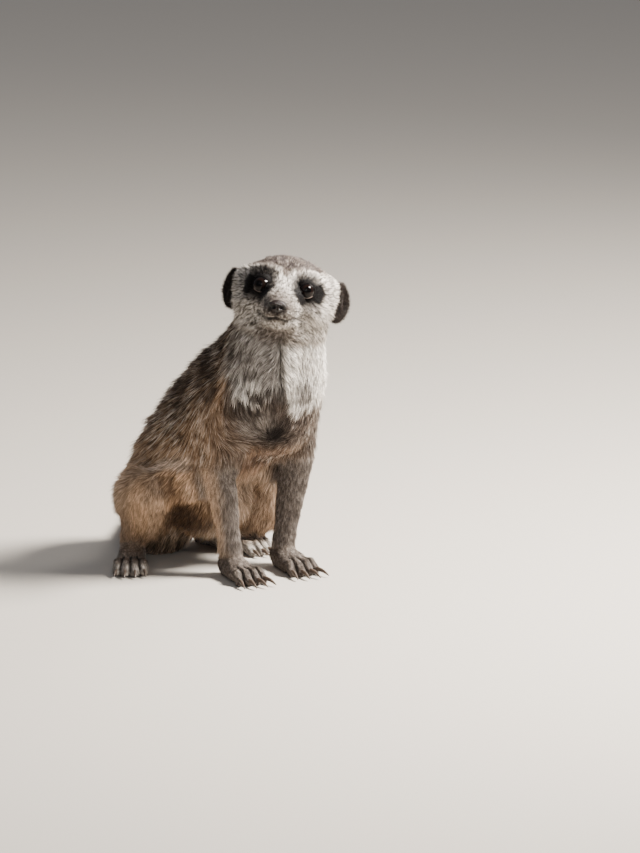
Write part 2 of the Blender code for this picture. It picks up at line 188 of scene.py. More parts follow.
def new_group(name, kind, inputs, outputs):
    """A node group with named sockets: its tree, the wiring, its inputs and its output node."""
    tree = bpy.data.node_groups.new(name, kind)
    for direction, sockets in (("INPUT", inputs), ("OUTPUT", outputs)):
        for label, (socket_type, default) in sockets.items():
            socket_type = "NodeSocket" + socket_type
            socket = tree.interface.new_socket(name=label, in_out=direction, socket_type=socket_type)
            if default is not None:
                socket.default_value = default
    given, result = tree.nodes.new("NodeGroupInput"), tree.nodes.new("NodeGroupOutput")
    return tree, Wiring(tree), given.outputs, result


def colour(red, green, blue):
    """A linear colour from the levels, 0 to 255, that a painter's chart gives."""
    levels = [c / 255 for c in (red, green, blue)]
    return (*(((c + 0.055) / 1.055) ** 2.4 if c > 0.04 else c / 12.92 for c in levels), 1.0)


# ---- meshes as arrays ----


def read(values, key, width=3, kind=np.float32):
    """A mesh's values as an array with a row for each."""
    flat = np.empty(len(values) * width, kind)
    values.foreach_get(key, flat)
    return flat.reshape(-1, width)


def read_points(mesh):
    return read(mesh.vertices, "co").astype(float) / MM


def write_points(mesh, points):
    mesh.vertices.foreach_set("co", (points * MM).astype(np.float32).ravel())
    mesh.update()


def read_normals(mesh):
    return read(mesh.vertex_normals, "vector").astype(float)


def read_edges(mesh):
    return read(mesh.edges, "vertices", 2, np.int32)


@contextmanager
def editing(mesh):
    """A mesh laid open to be edited, and written back afterwards."""
    whole = bmesh.new()
    whole.from_mesh(mesh)
    yield whole
    whole.to_mesh(mesh)
    whole.free()
    mesh.update()


def spread(values, edges, rounds, share=0.5, weight=1.0):
    """Evens values out over a mesh: each round moves every one towards the mean of its neighbours."""
    count = np.maximum(np.bincount(edges.ravel(), minlength=len(values)), 1)[:, None]
    near, far = np.concatenate((edges, edges[:, ::-1])).T
    for _ in range(rounds):
        total = [np.bincount(near, weights=column[far], minlength=len(values)) for column in values.T]
        values = values + (np.stack(total, 1) / count - values) * share * weight
    return values


def step(value, low, high):
    """0 up to low, 1 from high on, and a soft step between them."""
    t = np.clip((value - low) / (high - low), 0, 1)
    return t * t * (3 - 2 * t)


def unit(vectors):
    return vectors / np.maximum(np.linalg.norm(vectors, axis=-1, keepdims=True), 1e-9)


def blob(points, centre, radii, soft):
    """1 inside an ellipsoid, 0 outside it, and a soft edge between them."""
    reach = np.linalg.norm((points - centre) / radii, axis=-1)
    return 1 - step(reach, 1 - soft, 1 + soft)


def most(*masks):
    return np.maximum.reduce(masks)


def new_mesh_object(name, points, faces):
    mesh = bpy.data.meshes.new(name)
    mesh.from_pydata([Vector(p) * MM for p in points], [], faces)
    mesh.update()
    return new_object(name, mesh)


def finished_mesh(target):
    """The target's mesh with its modifiers applied, which are then removed."""
    evaluated = target.evaluated_get(bpy.context.evaluated_depsgraph_get())
    mesh = bpy.data.meshes.new_from_object(evaluated)
    target.modifiers.clear()
    return mesh


def smooth_shaded(mesh):
    mesh.polygons.foreach_set("use_smooth", np.ones(len(mesh.polygons), bool))
    mesh.update()


def new_closed_object(name, points, faces):
    """A closed, smooth piece whose faces point outwards."""
    made = new_mesh_object(name, points, faces)
    with editing(made.data) as whole:
        bmesh.ops.recalc_face_normals(whole, faces=whole.faces)
    smooth_shaded(made.data)
    return made


def ball(rings, around):
    """A unit ball's corners, as tilt from its first pole and place across its axis, and its faces."""
    corners, faces = [], []
    for ring in range(rings + 1):
        tilt = math.pi * ring / rings
        for k in range(around if 0 < ring < rings else 1):
            spin = 2 * math.pi * k / around
            corners.append((tilt, math.sin(tilt) * math.cos(spin), math.sin(tilt) * math.sin(spin)))
    for k in range(around):
        after = (k + 1) % around
        faces.append((0, 1 + k, 1 + after))
        for first in range(1, 1 + (rings - 2) * around, around):
            faces.append((first + k, first + around + k, first + around + after, first + after))
        first = 1 + (rings - 2) * around
        faces.append((first + k, len(corners) - 1, first + after))
    return corners, faces


# ---- the head's own axes ----

HEAD_TURN, HEAD_LIFT, HEAD_TILT = -47, -12, 7.5  # degrees
EYE_IN_HEAD = np.array((12.0, -20.0, 1.4))  # the left one
NOSE_IN_HEAD = np.array((0, -48.3, -9.4))


def centre_of(node):
    low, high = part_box(node)
    return np.array((low + high) / 2) / MM


HEAD_AXES = np.array(
    Matrix.Rotation(math.radians(HEAD_TURN), 3, "Z")
    @ Matrix.Rotation(math.radians(HEAD_LIFT), 3, "X")
    @ Matrix.Rotation(math.radians(HEAD_TILT), 3, "Y")
)
HEAD_CENTRE = (centre_of("eye_left") + centre_of("eye_right")) / 2 - HEAD_AXES @ (EYE_IN_HEAD * (0, 1, 1))


def in_head(points):
    return (points - HEAD_CENTRE) @ HEAD_AXES


def from_head(points):
    return np.asarray(points) @ HEAD_AXES.T + HEAD_CENTRE


def folded_in_head(points):
    """Places in the head with its right half folded over onto the left."""
    head = in_head(points)
    head[:, 0] = np.abs(head[:, 0])
    return head


def mirrored(place, side):
    return np.array(place, float) * (side, 1, 1)


# ---- skin ----

LIMBS = ("upper_arm", "forearm", "forepaw", "thigh", "shank", "hind_foot")
TAIL = ("tail_root", "tail_middle", "tail_tip")
FORE = ("chest", "neck", "upper_arm")
TRUNK = ("chest", "loins", "neck")
FLESH = ["chest", "loins", "neck", "head", *TAIL]
FLESH += [f"{limb}_{side}" for limb in LIMBS for side in SIDES.values()]
EARS = [f"ear_{side}" for side in SIDES.values()]
# How the coat grows on each part: length, lift off the skin in degrees, and depth.
GROWTH = {
    "chest": (9, 20, 3.0),
    "loins": (11, 16, 3.0),
    "neck": (7.5, 20, 2.6),
    "head": (4.0, 14, 1.5),
    "upper_arm": (7, 14, 2.0),
    "forearm": (3.0, 9, 0.8),
    "forepaw": (2.0, 9, 0.4),
    "thigh": (8.5, 15, 2.4),
    "shank": (6, 14, 1.4),
    "hind_foot": (2.4, 10, 0.4),
    "tail_root": (8, 14, 2.2),
    "tail_middle": (7, 13, 1.5),
    "tail_tip": (6, 13, 1.2),
    "ear": (2.2, 22, 0),
}
OUTER_BACK = (-0.72, 0.69, 0)  # towards the outer and back edge of the right foreleg
GROIN = [(-72, -55, 56), (-69, -58, 46), (-62, -55, 36), (-57, -47, 28)]  # from the right shank to the belly
CROWN = (0, 2, 20), (24, 26, 14.2)  # middle and radii, in the head
SWELL = 0.42  # closes the cuts between the nodes
GRAIN = 1.3  # side of the skin's faces
EVEN_ROUNDS, FEET_KEEP = 26, 0.25  # how often the skin is evened out, and how far the feet take part in it
GROIN_DEPTH, GROIN_WIDTH = 3.6, 6.0
SOLE, TOE_TOP, TOE_GAP_DEPTH = 1.6, 13, 1.5
MUZZLE_FRONT = (0, -44, -12)  # in the head
EYE_RADIUS = 5.0
EYE_SINK = 1.0  # how far the eyeball lies behind the middle of its solid
LID = {"half_width": 4.6, "half_height": 3.95, "thick": 0.5, "reach": 2.6}
LIDS_FACE = (0.3, -0.95, 0.08)  # which way the left eye's lids open, in the head
MOUTH = [(0, -46.5, -15.6), (3.5, -43.5, -16.6), (7.0, -37, -16.0), (10.0, -28, -15.2), (12.2, -20.5, -14.2)]


def part_name(node):
    for side in SIDES.values():
        node = node.removesuffix("_" + side)
    return node


def names_of(part, nodes):
    """The name of the part that each point is on."""
    return np.array([part_name(node) for node in nodes])[part]


def welded(node, name, swell):
    """A new mesh shaped like a node's, with its corners merged, swollen along its normals."""
    part = bmesh.new()
    part.from_mesh(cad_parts[node].data)
    bmesh.ops.remove_doubles(part, verts=part.verts, dist=1e-6)
    part.normal_update()
    moves = [vertex.normal * swell * MM for vertex in part.verts]
    for vertex, move in zip(part.verts, moves):
        vertex.co += move
    mesh = bpy.data.meshes.new(name)
    part.to_mesh(mesh)
    part.free()
    return mesh


def fused_flesh():
    """All the flesh with the eyes and nose, as one closed mesh of even faces."""
    whole = bmesh.new()
    for node in FLESH + ["eye_left", "eye_right", "nose"]:
        mesh = welded(node, node + "_copy", SWELL)
        whole.from_mesh(mesh)
        bpy.data.meshes.remove(mesh)
    mesh = bpy.data.meshes.new("skin")
    whole.to_mesh(mesh)
    whole.free()
    skin = new_object("skin", mesh)
    remesh = skin.modifiers.new("fuse", "REMESH")
    remesh.mode = "VOXEL"
    remesh.voxel_size = GRAIN * MM
    skin.data = finished_mesh(skin)
    return skin


def nearest_part(points, nodes):
    """Which of the nodes each point is nearest to, by its place in the list."""
    corners, faces, owner = [], [], []
    for index, node in enumerate(nodes):
        mesh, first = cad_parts[node].data, len(corners)
        corners += [vertex.co.copy() for vertex in mesh.vertices]
        faces += [[first + i for i in face.vertices] for face in mesh.polygons]
        owner += [index] * len(mesh.polygons)
    tree = BVHTree.FromPolygons(corners, faces)
    return np.array([owner[tree.find_nearest(p)[2]] for p in (points * MM).tolist()])


def facing_out_and_back(normals, part, nodes):
    """How far each point faces the outer back edge of its foreleg, from -1 to 1."""
    left = np.array([node.endswith("_left") for node in nodes])[part]
    mirror = np.where(left[:, None], (-1, 1, 1), 1)
    return np.sum(normals * mirror * unit(OUTER_BACK), 1)


def flank_fold(points):
    """The smooth fold of skin between the right knee and the belly, under an arched edge."""
    top = np.interp(points[:, 1], *zip(*FOLD_TOP))
    return step(top - points[:, 2], -3, 3) * step(-points[:, 0], 38, 48) * step(points[:, 2], 16, 26)


def growth(points, normals, part, nodes):
    """Length, lift and depth of the coat at each point."""
    name = names_of(part, nodes)
    grown = np.array([GROWTH[part_name(node)] for node in nodes], float)[part]
    of_head = np.array([node == "head" for node in nodes])[part]
    of_breast = np.isin(name, ("chest", "neck"))
    forward, height = -points[:, 1], points[:, 2]
    folded = folded_in_head(points)
    across, along, up = folded.T
    regions = (
        # the face, the muzzle and the cheeks
        (of_head * (1 - step(along, -16, 2)), (2.3, 17, 0.7)),
        (of_head * (1 - step(along, -36, -24)), (1.5, 15, 0.4)),
        (of_head * step(across, 12, 20) * (1 - step(up, -8, 0)) * step(along, -22, -10), (5.0, 20, 1.5)),
        # the crown, the lids, the brows and the hair before the ears
        (of_head * blob(folded, *CROWN, 0.2), (3.0, 13, 1.2)),
        (of_head * blob(folded, (13, -20, 2.5), (9, 9, 8.5), 0.3), (2.1, 35, 0.7)),
        (of_head * blob(folded, (12, -17, 10), (8, 5, 2.6), 0.5), (2.7, 34, 0.7)),
        (of_head * blob(folded, (26, -4, -1), (4, 4, 10), 0.4), (4.0, 30, 1.0)),
        # the fold at the knee, the groin, under the breast, the breast and the throat
        (flank_fold(points), (5.0, 13, 2.0)),
        (1 - step(distance_to_line(points, GROIN), 3, 8), (8.0, 24, 2.0)),
        (blob(points, (-31, -100, 70), (18, 10, 9), 0.4), (4.5, 12, 2.0)),
        (of_breast * (forward > 95) * (height > 82), (6.0, 17, 2.4)),
        (of_breast * step(forward, 92, 98) * step(height, 112, 122), (4.8, 13, 2.2)),
        # the lips
        (of_head * (1 - step(distance_to_line(folded, MOUTH), 1.6, 3.2)), (0.9, 12, 0.4)),
    )
    for share, values in regions:
        grown += (values - grown) * share[:, None]
    # The hair at the back of each foreleg is longer and stands off.
    feather = (name == "forearm") * step(facing_out_and_back(normals, part, nodes), 0.2, 0.8)
    grown[:, :2] += ((5.0, 17) - grown[:, :2]) * feather[:, None]
    return grown


def refine(mesh, chosen):
    """Divides the faces whose corners are all chosen."""
    with editing(mesh) as whole:
        whole.verts.ensure_lookup_table()
        edges = [e for e in whole.edges if chosen[e.verts[0].index] and chosen[e.verts[1].index]]
        bmesh.ops.subdivide_edges(whole, edges=edges, cuts=1, use_grid_fill=True)


def near_places(points, places, reach):
    gaps = [np.linalg.norm(points - np.asarray(place), axis=1) for place in places]
    return np.min(gaps, axis=0) < reach


def eye_axes(side):
    """Across (away from the nose), up and ahead of an eye, as columns."""
    ahead = unit(HEAD_AXES @ mirrored(LIDS_FACE, side))
    across = unit(np.cross(HEAD_AXES[:, 2], ahead))
    across *= side * np.sign(across @ HEAD_AXES[:, 0])
    up = np.cross(ahead, across)
    up *= np.sign(up @ HEAD_AXES[:, 2])
    return np.stack((across, up, ahead), 1)


def eye_centre(side):
    return centre_of("eye_" + SIDES[side]) - eye_axes(side)[:, 2] * EYE_SINK


def lid_place(points, side):
    """Where each point lies, 1 on the rim of the lids and more outside it, and its distance from the eye."""
    local = (points - eye_centre(side)) @ eye_axes(side)
    distance = np.linalg.norm(local, axis=1)
    across, up = (local[:, :2] / distance[:, None] * EYE_RADIUS).T
    sideways, upwards = np.abs(across) / LID["half_width"], np.abs(up) / LID["half_height"]
    # The uneven powers draw the opening out to a corner at each end.
    share = (sideways**1.55 + upwards**2) ** (1 / 1.8)
    return np.where(local[:, 2] > 0, share, 9.0), distance


def shape_lids(points):
    """Wraps the skin round each eye as two thick lids and sinks it behind the eyeball between them."""
    for side in SIDES:
        share, distance = lid_place(points, side)
        rim = np.clip((share - 1) / 0.22, 0, 1)
        lid = EYE_RADIUS + LID["thick"] * np.sqrt(np.maximum(1 - (1 - rim) ** 2, 0))
        sunk = EYE_RADIUS - 1.3 * step(1 - share, 0, 0.12)
        wanted = np.where(share > 1, lid, sunk)
        moved = wanted + (distance - wanted) * step(share, 1.2, LID["reach"])
        centre = eye_centre(side)
        close = (share < LID["reach"]) & (distance < EYE_RADIUS * 2.1)
        points[close] = (centre + (points - centre) * (moved / distance)[:, None])[close]
    return points


def distance_to_line(points, line):
    gaps = []
    for start, end in zip(np.array(line[:-1], float), np.array(line[1:], float)):
        way = end - start
        t = np.clip((points - start) @ way / (way @ way), 0, 1)
        gaps.append(np.linalg.norm(points - start - t[:, None] * way, axis=1))
    return np.min(gaps, axis=0)


def shape_muzzle(points, normals):
    """Whisker pads, the line of the mouth, the lower lip, and the bed of the nose."""
    folded = folded_in_head(points)
    lift = 0.9 * blob(folded, (4.6, -42, -12.6), (4, 6, 3.4), 0.6)
    lift += 0.5 * blob(folded, (0, -41, -19), (4.5, 6, 2.6), 0.6)
    lift -= 1.9 * np.exp(-((distance_to_line(folded, MOUTH) / 1.15) ** 2))
    lift -= 0.7 * np.exp(-((distance_to_line(folded, [(0, -49, -12.6), (0, -47, -15.6)]) / 0.7) ** 2))
    lift -= 2.4 * blob(folded, NOSE_IN_HEAD + (0, 0.6, 0), (4.2, 4.0, 3.4), 0.25)
    # The hollow before each eye, the ridge over it and the dip between the two.
    lift -= 0.7 * blob(folded, (7.0, -27, 0.6), (3.5, 5, 4), 0.7)
    lift += 0.9 * blob(folded, (11.5, -18, 9.0), (8, 5, 3), 0.7)
    lift -= 0.7 * blob(folded, (0, -17, 12), (3, 9, 6), 0.8)
    return points + normals * lift[:, None]


def ahead_of(foot):
    turn = math.radians(PAW_TURN[foot])
    return np.array((-math.sin(turn), -math.cos(turn), 0))


def toe_gaps():
    """The lines between neighbouring toes, from the front back under the paw, as (start, end)."""
    gaps = []
    for foot in PAW_TURN:
        ahead, side = ahead_of(foot), np.cross(ahead_of(foot), (0, 0, 1))
        claws = [centre_of(f"claw_{foot}_{k + 1}") for k in range(4)]
        claws.sort(key=lambda place: place @ side)
        middle = np.mean(claws, axis=0)
        claw, toe = (5.5, 11) if "paw" in foot else (3.5, 12)
        for near, far in zip(claws, claws[1:]):
            start = (near + far) / 2 - ahead * (claw - 2)
            end = start - ahead * toe
            end = end + side * ((middle - end) @ side * 0.3)
            gaps.append((start * (1, 1, 0), end * (1, 1, 0)))
    return gaps


def between_toes(points, reach):
    """1 in the gaps between the toes and 0 away from them."""
    flat = points * (1, 1, 0)
    nearest = np.min([distance_to_line(flat, gap) for gap in toe_gaps()], axis=0)
    return np.exp(-((nearest / reach) ** 2)) * (points[:, 2] < 16)


def ear_mesh(side):
    """A thin upright flap, cupped on its outer face, with a rolled rim and a fold inside."""
    centre = in_head(centre_of("ear_" + SIDES[side])[None])[0]
    radii = np.array((2.4, 8.1, 10.6))
    turn = np.array(Matrix.Rotation(math.radians(-side * 35), 3, "Z"))
    corners, faces = ball(26, 40)
    points = []
    for tilt, *across in corners:
        flap = np.array((math.cos(tilt), *across))
        reach = math.hypot(flap[1], flap[2])
        outer = max(flap[0], 0)
        # The outer face sinks into a cup, with a fold that stands up along the middle.
        cup = -2.9 * outer * (1 - reach**3)
        fold = 0.9 * outer * math.exp(-(((flap[1] - 0.25) / 0.16) ** 2)) * (1 - reach**2)
        crease = 0.45 * outer * math.sin(9 * flap[1] + 3 * flap[2]) * (1 - reach**2)
        local = flap * radii * (1, 1 - 0.18 * max(flap[2], 0), 1) + (cup + fold + crease, 0, 0)
        # The rim leans out at the top and back.
        local[0] += 1.1 * reach**2 * max(flap[1], 0)
        points.append(centre + turn @ (local * (side, 1, 1)))
    return from_head(points), [face[::-1] for face in faces] if side == LEFT else faces


def add_ears(mesh):
    with editing(mesh) as whole:
        for side in SIDES:
            points, faces = ear_mesh(side)
            corners = [whole.verts.new(Vector(p) * MM) for p in points]
            made = [whole.faces.new([corners[i] for i in face]) for face in faces]
            bmesh.ops.recalc_face_normals(whole, faces=made)


def make_skin():
    skin = fused_flesh()
    mesh = skin.data
    points, edges = read_points(mesh), read_edges(mesh)
    part = nearest_part(points, FLESH)
    feet = np.array(["paw" in node or "foot" in node for node in FLESH])[part]
    weight = spread(np.where(feet, FEET_KEEP, 1.0)[:, None], edges, 6)
    # Waves shorter than about 15 mm are evened out, and the broad forms keep their size.
    for _ in range(EVEN_ROUNDS):
        points = spread(points, edges, 1, 0.5, weight)
        points = spread(points, edges, 1, -0.53, weight)
    write_points(mesh, points)
    normals = unit(spread(read_normals(mesh), edges, 4))
    crease = GROIN_DEPTH * np.exp(-((distance_to_line(points, GROIN) / GROIN_WIDTH) ** 2))
    points = points - normals * crease[:, None]
    inward = normals * spread(growth(points, normals, part, FLESH)[:, 2:], edges, 14)
    # Undersides that rest on the floor stay on it.
    inward[(points[:, 2] < SOLE) & (normals[:, 2] < -0.4), 2] = 0
    points -= inward
    points[:, 2] = np.maximum(points[:, 2], 0)
    write_points(mesh, points)

    eyes = [centre_of("eye_" + side) for side in SIDES.values()]
    muzzle = from_head([MUZZLE_FRONT])

    def on_face(eye_reach, muzzle_reach):
        return near_places(points, eyes, eye_reach) | near_places(points, muzzle, muzzle_reach)

    refine(mesh, on_face(13, 17) | (feet & (points[:, 2] < TOE_TOP)))
    points = read_points(mesh)
    refine(mesh, on_face(9.5, 12))
    points, edges = read_points(mesh), read_edges(mesh)
    points = spread(points, edges, 5, 0.5, on_face(14, 18)[:, None])
    write_points(mesh, points)
    points = shape_muzzle(points, read_normals(mesh))
    gap = between_toes(points, 0.8) * (points[:, 2] > 0.6) * TOE_GAP_DEPTH
    points = shape_lids(points - read_normals(mesh) * gap[:, None])
    write_points(mesh, points)
    part = nearest_part(points, FLESH)
    add_ears(mesh)
    smooth_shaded(mesh)
    ear_points = (len(mesh.vertices) - len(points)) // 2
    return skin, np.concatenate((part, np.repeat([len(FLESH), len(FLESH) + 1], ear_points)))


# ---- lie of the hair, markings and painted shade ----

WHORL = (-37.5, -105, 82)  # where the hair of the breast runs together
PARTING = [(-43, -116, 136), (-39, -113, 92)]  # the midline of the throat and breast
BREAST_FACE = unit((-0.45, -0.88, -0.1))  # which way the breast faces
BREAST_ACROSS = unit(np.cross(BREAST_FACE, (0, 0, 1)))
# Which way the hair of each part lies.
LIE = {
    "chest": (0.02, 0.5, -0.86),
    "loins": (0, 0.55, -0.83),
    "neck": (0, 0.25, -0.97),
    "head": (0, 0, -1),
    "upper_arm": (0, 0.15, -1),
    "forearm": (0, 0.1, -1),
    "forepaw": (0, -1, -0.25),
    "thigh": (0, 0.75, -0.65),
    "shank": (0, 0.3, -0.95),
    "hind_foot": (0, -1, -0.2),
    "tail_root": (0.4, 0.9, -0.2),
    "tail_middle": (0.72, 0.7, 0),
    "tail_tip": (0.6, 0.8, 0),
    "ear": (0, 0, 0),
}
PATCH = {"out": 1.5, "up": -0.8, "half_width": 10.5, "half_height": 9.4}  # the dark patch round each eye
# The arched top of the fold between the knee and the belly: height at each y.
FOLD_TOP = [(-84, 40), (-79, 56), (-73, 62), (-66, 66), (-57, 67), (-47, 66), (-38, 60), (-32, 50), (-26, 30)]
SHANK_FRONT = [(-79, -42, 52), (-74, -35, 32), (-68, -25, 16)]
# How far above the whorl the pale of the breast begins, at each distance across the breast.
PALE_EDGE = [(-30, 12), (-22, 11), (-14, 7), (-9, 8), (-6, 17), (-3, 28), (0, 27), (4, 21), (7, 18)]
PALE_EDGE += [(12, 15), (24, 18)]
PAW_TURN = {"forepaw_right": 16, "forepaw_left": 15, "hind_foot_right": 44, "hind_foot_left": -4}


def lie_of_hair(points, normals, edges, part, nodes):
    """The way that the hair lies at each point: a unit vector along the skin."""

    def along_skin(ways):
        return unit(ways - normals * np.sum(ways * normals, 1, keepdims=True))

    table = np.array([LIE[part_name(node)] for node in nodes], float)
    for index, node in enumerate(nodes):
        if node in PAW_TURN:
            table[index] = np.array(Matrix.Rotation(math.radians(-PAW_TURN[node]), 3, "Z")) @ table[index]
    lie = unit(table[part])
    name = names_of(part, nodes)
    # On the head it runs back from the nose, and falls on the cheeks.
    head = in_head(points)
    away = unit(head - (NOSE_IN_HEAD + (0, -3, 1)))
    away[:, 2] -= 0.55 * step(np.abs(head[:, 0]), 8, 22) * (1 - step(head[:, 2], -6, 8))
    away[:, 1] += 0.3
    away = unit(away)
    for side in SIDES:
        # Round the eyes it turns away from the lids, and on the ears it runs out and back to the rim.
        from_eye = head - in_head(eye_centre(side)[None])
        close = 1 - step(np.linalg.norm(from_eye, axis=1), 5.5, 9.5)
        away += unit(from_eye) * (2.2 * close)[:, None]
        ear = (name == "ear") & (head[:, 0] * side > 0)
        from_ear = unit(head - in_head(centre_of("ear_" + SIDES[side])[None])) + (0, 0.5, 0.25)
        away[ear] = from_ear[ear]
    lie = np.where(np.isin(name, ("head", "ear"))[:, None], unit(away) @ HEAD_AXES.T, lie)
    # On the breast it falls to both sides of the midline, and then runs in to the whorl.
    beside = (points - PARTING[0]) @ BREAST_ACROSS
    parted = np.exp(-((beside / 9) ** 2)) * (points[:, 1] < -90)
    parted *= step(points[:, 2], 102, 114) * (points[:, 2] < 142)
    lie = unit(lie + BREAST_ACROSS * (np.tanh(beside / 1.5) * 1.9 * parted)[:, None])
    to_whorl = np.add(WHORL, (-3.5, 0, -2)) - points
    gap = np.linalg.norm(to_whorl, axis=1)
    over = step(-to_whorl[:, 2], -9, 0)
    pull = (1 - step(gap, 14, 50)) * np.isin(name, FORE) * over * (points[:, 1] < -80)
    lie = lie * (1 - pull[:, None]) + unit(to_whorl) * pull[:, None]
    lie = along_skin(lie)
    for _ in range(14):
        lie = along_skin(spread(lie, edges, 1, 0.7))
    return lie


def waves(points, length, seed):
    """Smooth, even noise from 0 to 1 whose waves are about length long."""
    chance = np.random.default_rng(seed)
    total = np.zeros(len(points))
    for _ in range(10):
        way = unit(chance.normal(size=3))
        pace = 2 * math.pi / (length * chance.uniform(0.7, 1.4))
        total += np.sin(points @ way * pace + chance.uniform(0, 6.3))
    return np.clip(0.5 + total / 9, 0, 1)


def seen_along(points, way):
    """The points flattened along a direction, so that distances ignore depth."""
    points = np.asarray(points, float)
    return points - (points @ way)[..., None] * way


def round_eyes(points):
    """How far each point lies from the nearer eye, as a share of the dark patch round it."""
    nearest = np.full(len(points), 9.0)
    for side in SIDES:
        across, up, ahead = ((points - eye_centre(side)) @ eye_axes(side)).T
        across, up = (across - PATCH["out"]) / PATCH["half_width"], (up - PATCH["up"]) / PATCH["half_height"]
        share = np.hypot(across, up)
        nearest = np.minimum(nearest, np.where(ahead > -10, share, 9.0))
    return nearest


def markings_and_shade(points, normals, edges, part, nodes):
    """The coat's marks and its painted shade as masks from 0 to 1, by name."""
    names, name = sorted(GROWTH), names_of(part, nodes)
    shares = spread(np.stack([(name == n) * 1.0 for n in names], 1), edges, 10)
    head, folded = in_head(points), folded_in_head(points)
    forward, height = -points[:, 1], points[:, 2]

    def on(*wanted):
        return np.sum([shares[:, names.index(n)] for n in wanted], axis=0)

    def along(line, near, far):
        return 1 - step(distance_to_line(points, line), near, far)

    def flecks(shape, length, seed, low, high):
        return step(waves(points * shape, length, seed), low, high)

    def on_head(*ellipsoid):
        return blob(folded, *ellipsoid) * of_head

    def on_breast(*ellipse):
        return blob(across_breast, *ellipse) * front

    of_head, ear = on("head"), on("ear")
    fore, trunk, body = on(*FORE), on(*TRUNK), on(*TRUNK, "upper_arm")

    # The head: dark patches that reach out from the eyes towards the ears, a brown crown, a grey-brown muzzle,
    # and painted shade over the right eye and under the jaw.
    eye_share = round_eyes(points) + 0.16 * (waves(points, 2.6, 17) - 0.5)
    patch, halo = (1 - step(eye_share, 0.92, 1.08)) * of_head, (1 - step(eye_share, 1.0, 1.3)) * of_head
    socket = blob(head, (-12.5, -18.5, 9.2), (8, 6, 3.8), 0.4) * of_head  # painted shade over the right eye, on that side only
    mouth = np.exp(-((distance_to_line(folded, MOUTH) / 1.7) ** 4)) * of_head
    corner = on_head((13.4, -23.5, -13.4), (2.5, 3, 2.1), 0.4)
    nostril_skin = on_head(NOSE_IN_HEAD + (0, 1, -0.4), (5.6, 4.6, 4.8), 0.2)
    crown = blob(folded + (2.6 * (waves(points, 6, 33) - 0.5))[:, None], *CROWN, 0.18)
    crown *= 1 - 0.3 * flecks((1, 1, 0.7), 3.0, 31, 0.55, 0.7)
    crown = most(crown, 0.85 * blob(folded, (0, -17, 12), (3.0, 8, 4.5), 0.5)) * of_head
    muzzle = on_head((0, -40, -9), (9.5, 14, 9.5), 0.4)
    jaw = on_head((0, -38, -20), (7, 9, 2.6), 0.4)
    # Under the jaw the coat is painted darker and less pale: painted shade.
    under_jaw_shade = on_head((0, -24, -24), (13, 14, 3.5), 0.5)
    nape = on("neck", "head") * step(head[:, 1], 8, 20) * step(-forward, -92, -84)

    # The breast and throat are pale as far as a line down each side, where the brown of the back begins.
    beside, above = (points - WHORL) @ BREAST_ACROSS, height - WHORL[2]
    across_breast = np.stack((beside, above), 1)
    low_edge = np.interp(beside, *zip(*PALE_EDGE)) + 4 * (waves(points, 7, 21) - 0.5)
    breast = fore * step(forward, 88, 96) * step(above - low_edge, -2, 2)
    border = body * np.exp(-(((89 - forward) / 5) ** 2))
    border *= step(height, 58, 78) * (1 - step(height, 112, 130))
    front = fore * (forward > 88)
    flat, flat_line = seen_along(points, BREAST_FACE), seen_along(PARTING, BREAST_FACE)
    parting = front * np.exp(-((distance_to_line(flat, flat_line) / 1.8) ** 2)) * step(height, 100, 108)
    specks = 0.7 * on_breast((-17, 20), (5, 7), 0.5)
    # Beside the whorl a grey patch, partly the coat's own grey and partly painted shade.
    grey_patch_and_shade = on_breast((10, 7), (11, 9), 0.5)
    below = front * (1 - breast) * step(above, -16, -4)
    # Painted shade over the middle and the upper side of the breast.
    midway_shade = on_breast((6, 37), (7, 17), 0.6)
    shade_side = on_breast((17, 50), (13, 17), 0.4)
    crest = on_breast((-2, 14), (5, 14), 0.5)
    strokes = on_breast((14, 22), (12, 13), 0.4) * flecks((1, 1, 0.4), 4.6, 29, 0.54, 0.62)
    whorl = blob(points, WHORL, (7, 9, 6), 0.7) * body
    # Painted shade on the side of the throat and on the throat under the chin.
    throat_side_shade = blob(points, (-57, -100, 126), (9, 10, 15), 0.5) * on("chest", "neck")
    throat_shade = blob(points, (-47, -112, 139), (13, 12, 9), 0.5) * on("neck", "head") * (head[:, 2] < -19)
    belly = blob(points, (-28, -86, 66), (17, 20, 13), 0.5) * on("chest", "loins", "upper_arm")

    # The back is darker than the sides and crossed by broken bands.
    back = trunk * step(normals @ unit((0, 0.8, 0.6)), -0.25, 0.6) * (1 - breast)
    band_place = points @ unit((0, -0.55, 0.83)) / 11.5 + 0.7 * waves(points, 34, 3)
    band = 0.5 + 0.5 * np.sin(2 * math.pi * band_place)
    bands = step(band, 0.45, 0.85) * flecks(1, 13, 5, 0.35, 0.55)
    side_dashes = flecks((1, 1, 0.6), 8, 7, 0.47, 0.6) * trunk * (1 - breast) * 0.75
    lower = 1 - step(height, 66, 104)
    stripe_and_shade = most(back * (0.25 + 0.7 * bands) * (1 - 0.5 * lower), side_dashes * step(height, 70, 96))
    # Along the carved crease of the groin the coat is painted darker: painted shade.
    groin_shade = along(GROIN, 2, 7)
    fold = flank_fold(points) * on("loins", "thigh")
    # The hollow between the right thigh and the belly is painted dark: painted shade.
    cavity_shade = blob(points, (-53, -48, 27), (16, 19, 15), 0.65) * on("loins", "thigh")
    arch = fold * (1 - step(np.abs(np.interp(-forward, *zip(*FOLD_TOP)) - height - 4), 2, 6))
    # Dark stripes and flecks, and painted shade in the groin and in the hollow by the right thigh.
    stripe_and_shade = most(
        stripe_and_shade * (1 - fold),
        0.6 * groin_shade,
        0.92 * cavity_shade,
        0.55 * crest * waves(points, 4, 25),
        0.95 * strokes,
        0.28 * muzzle * (1 - jaw),
        0.42 * of_head * (1 - crown) * flecks((1, 1, 0.7), 2.7, 37, 0.56, 0.7),
    )

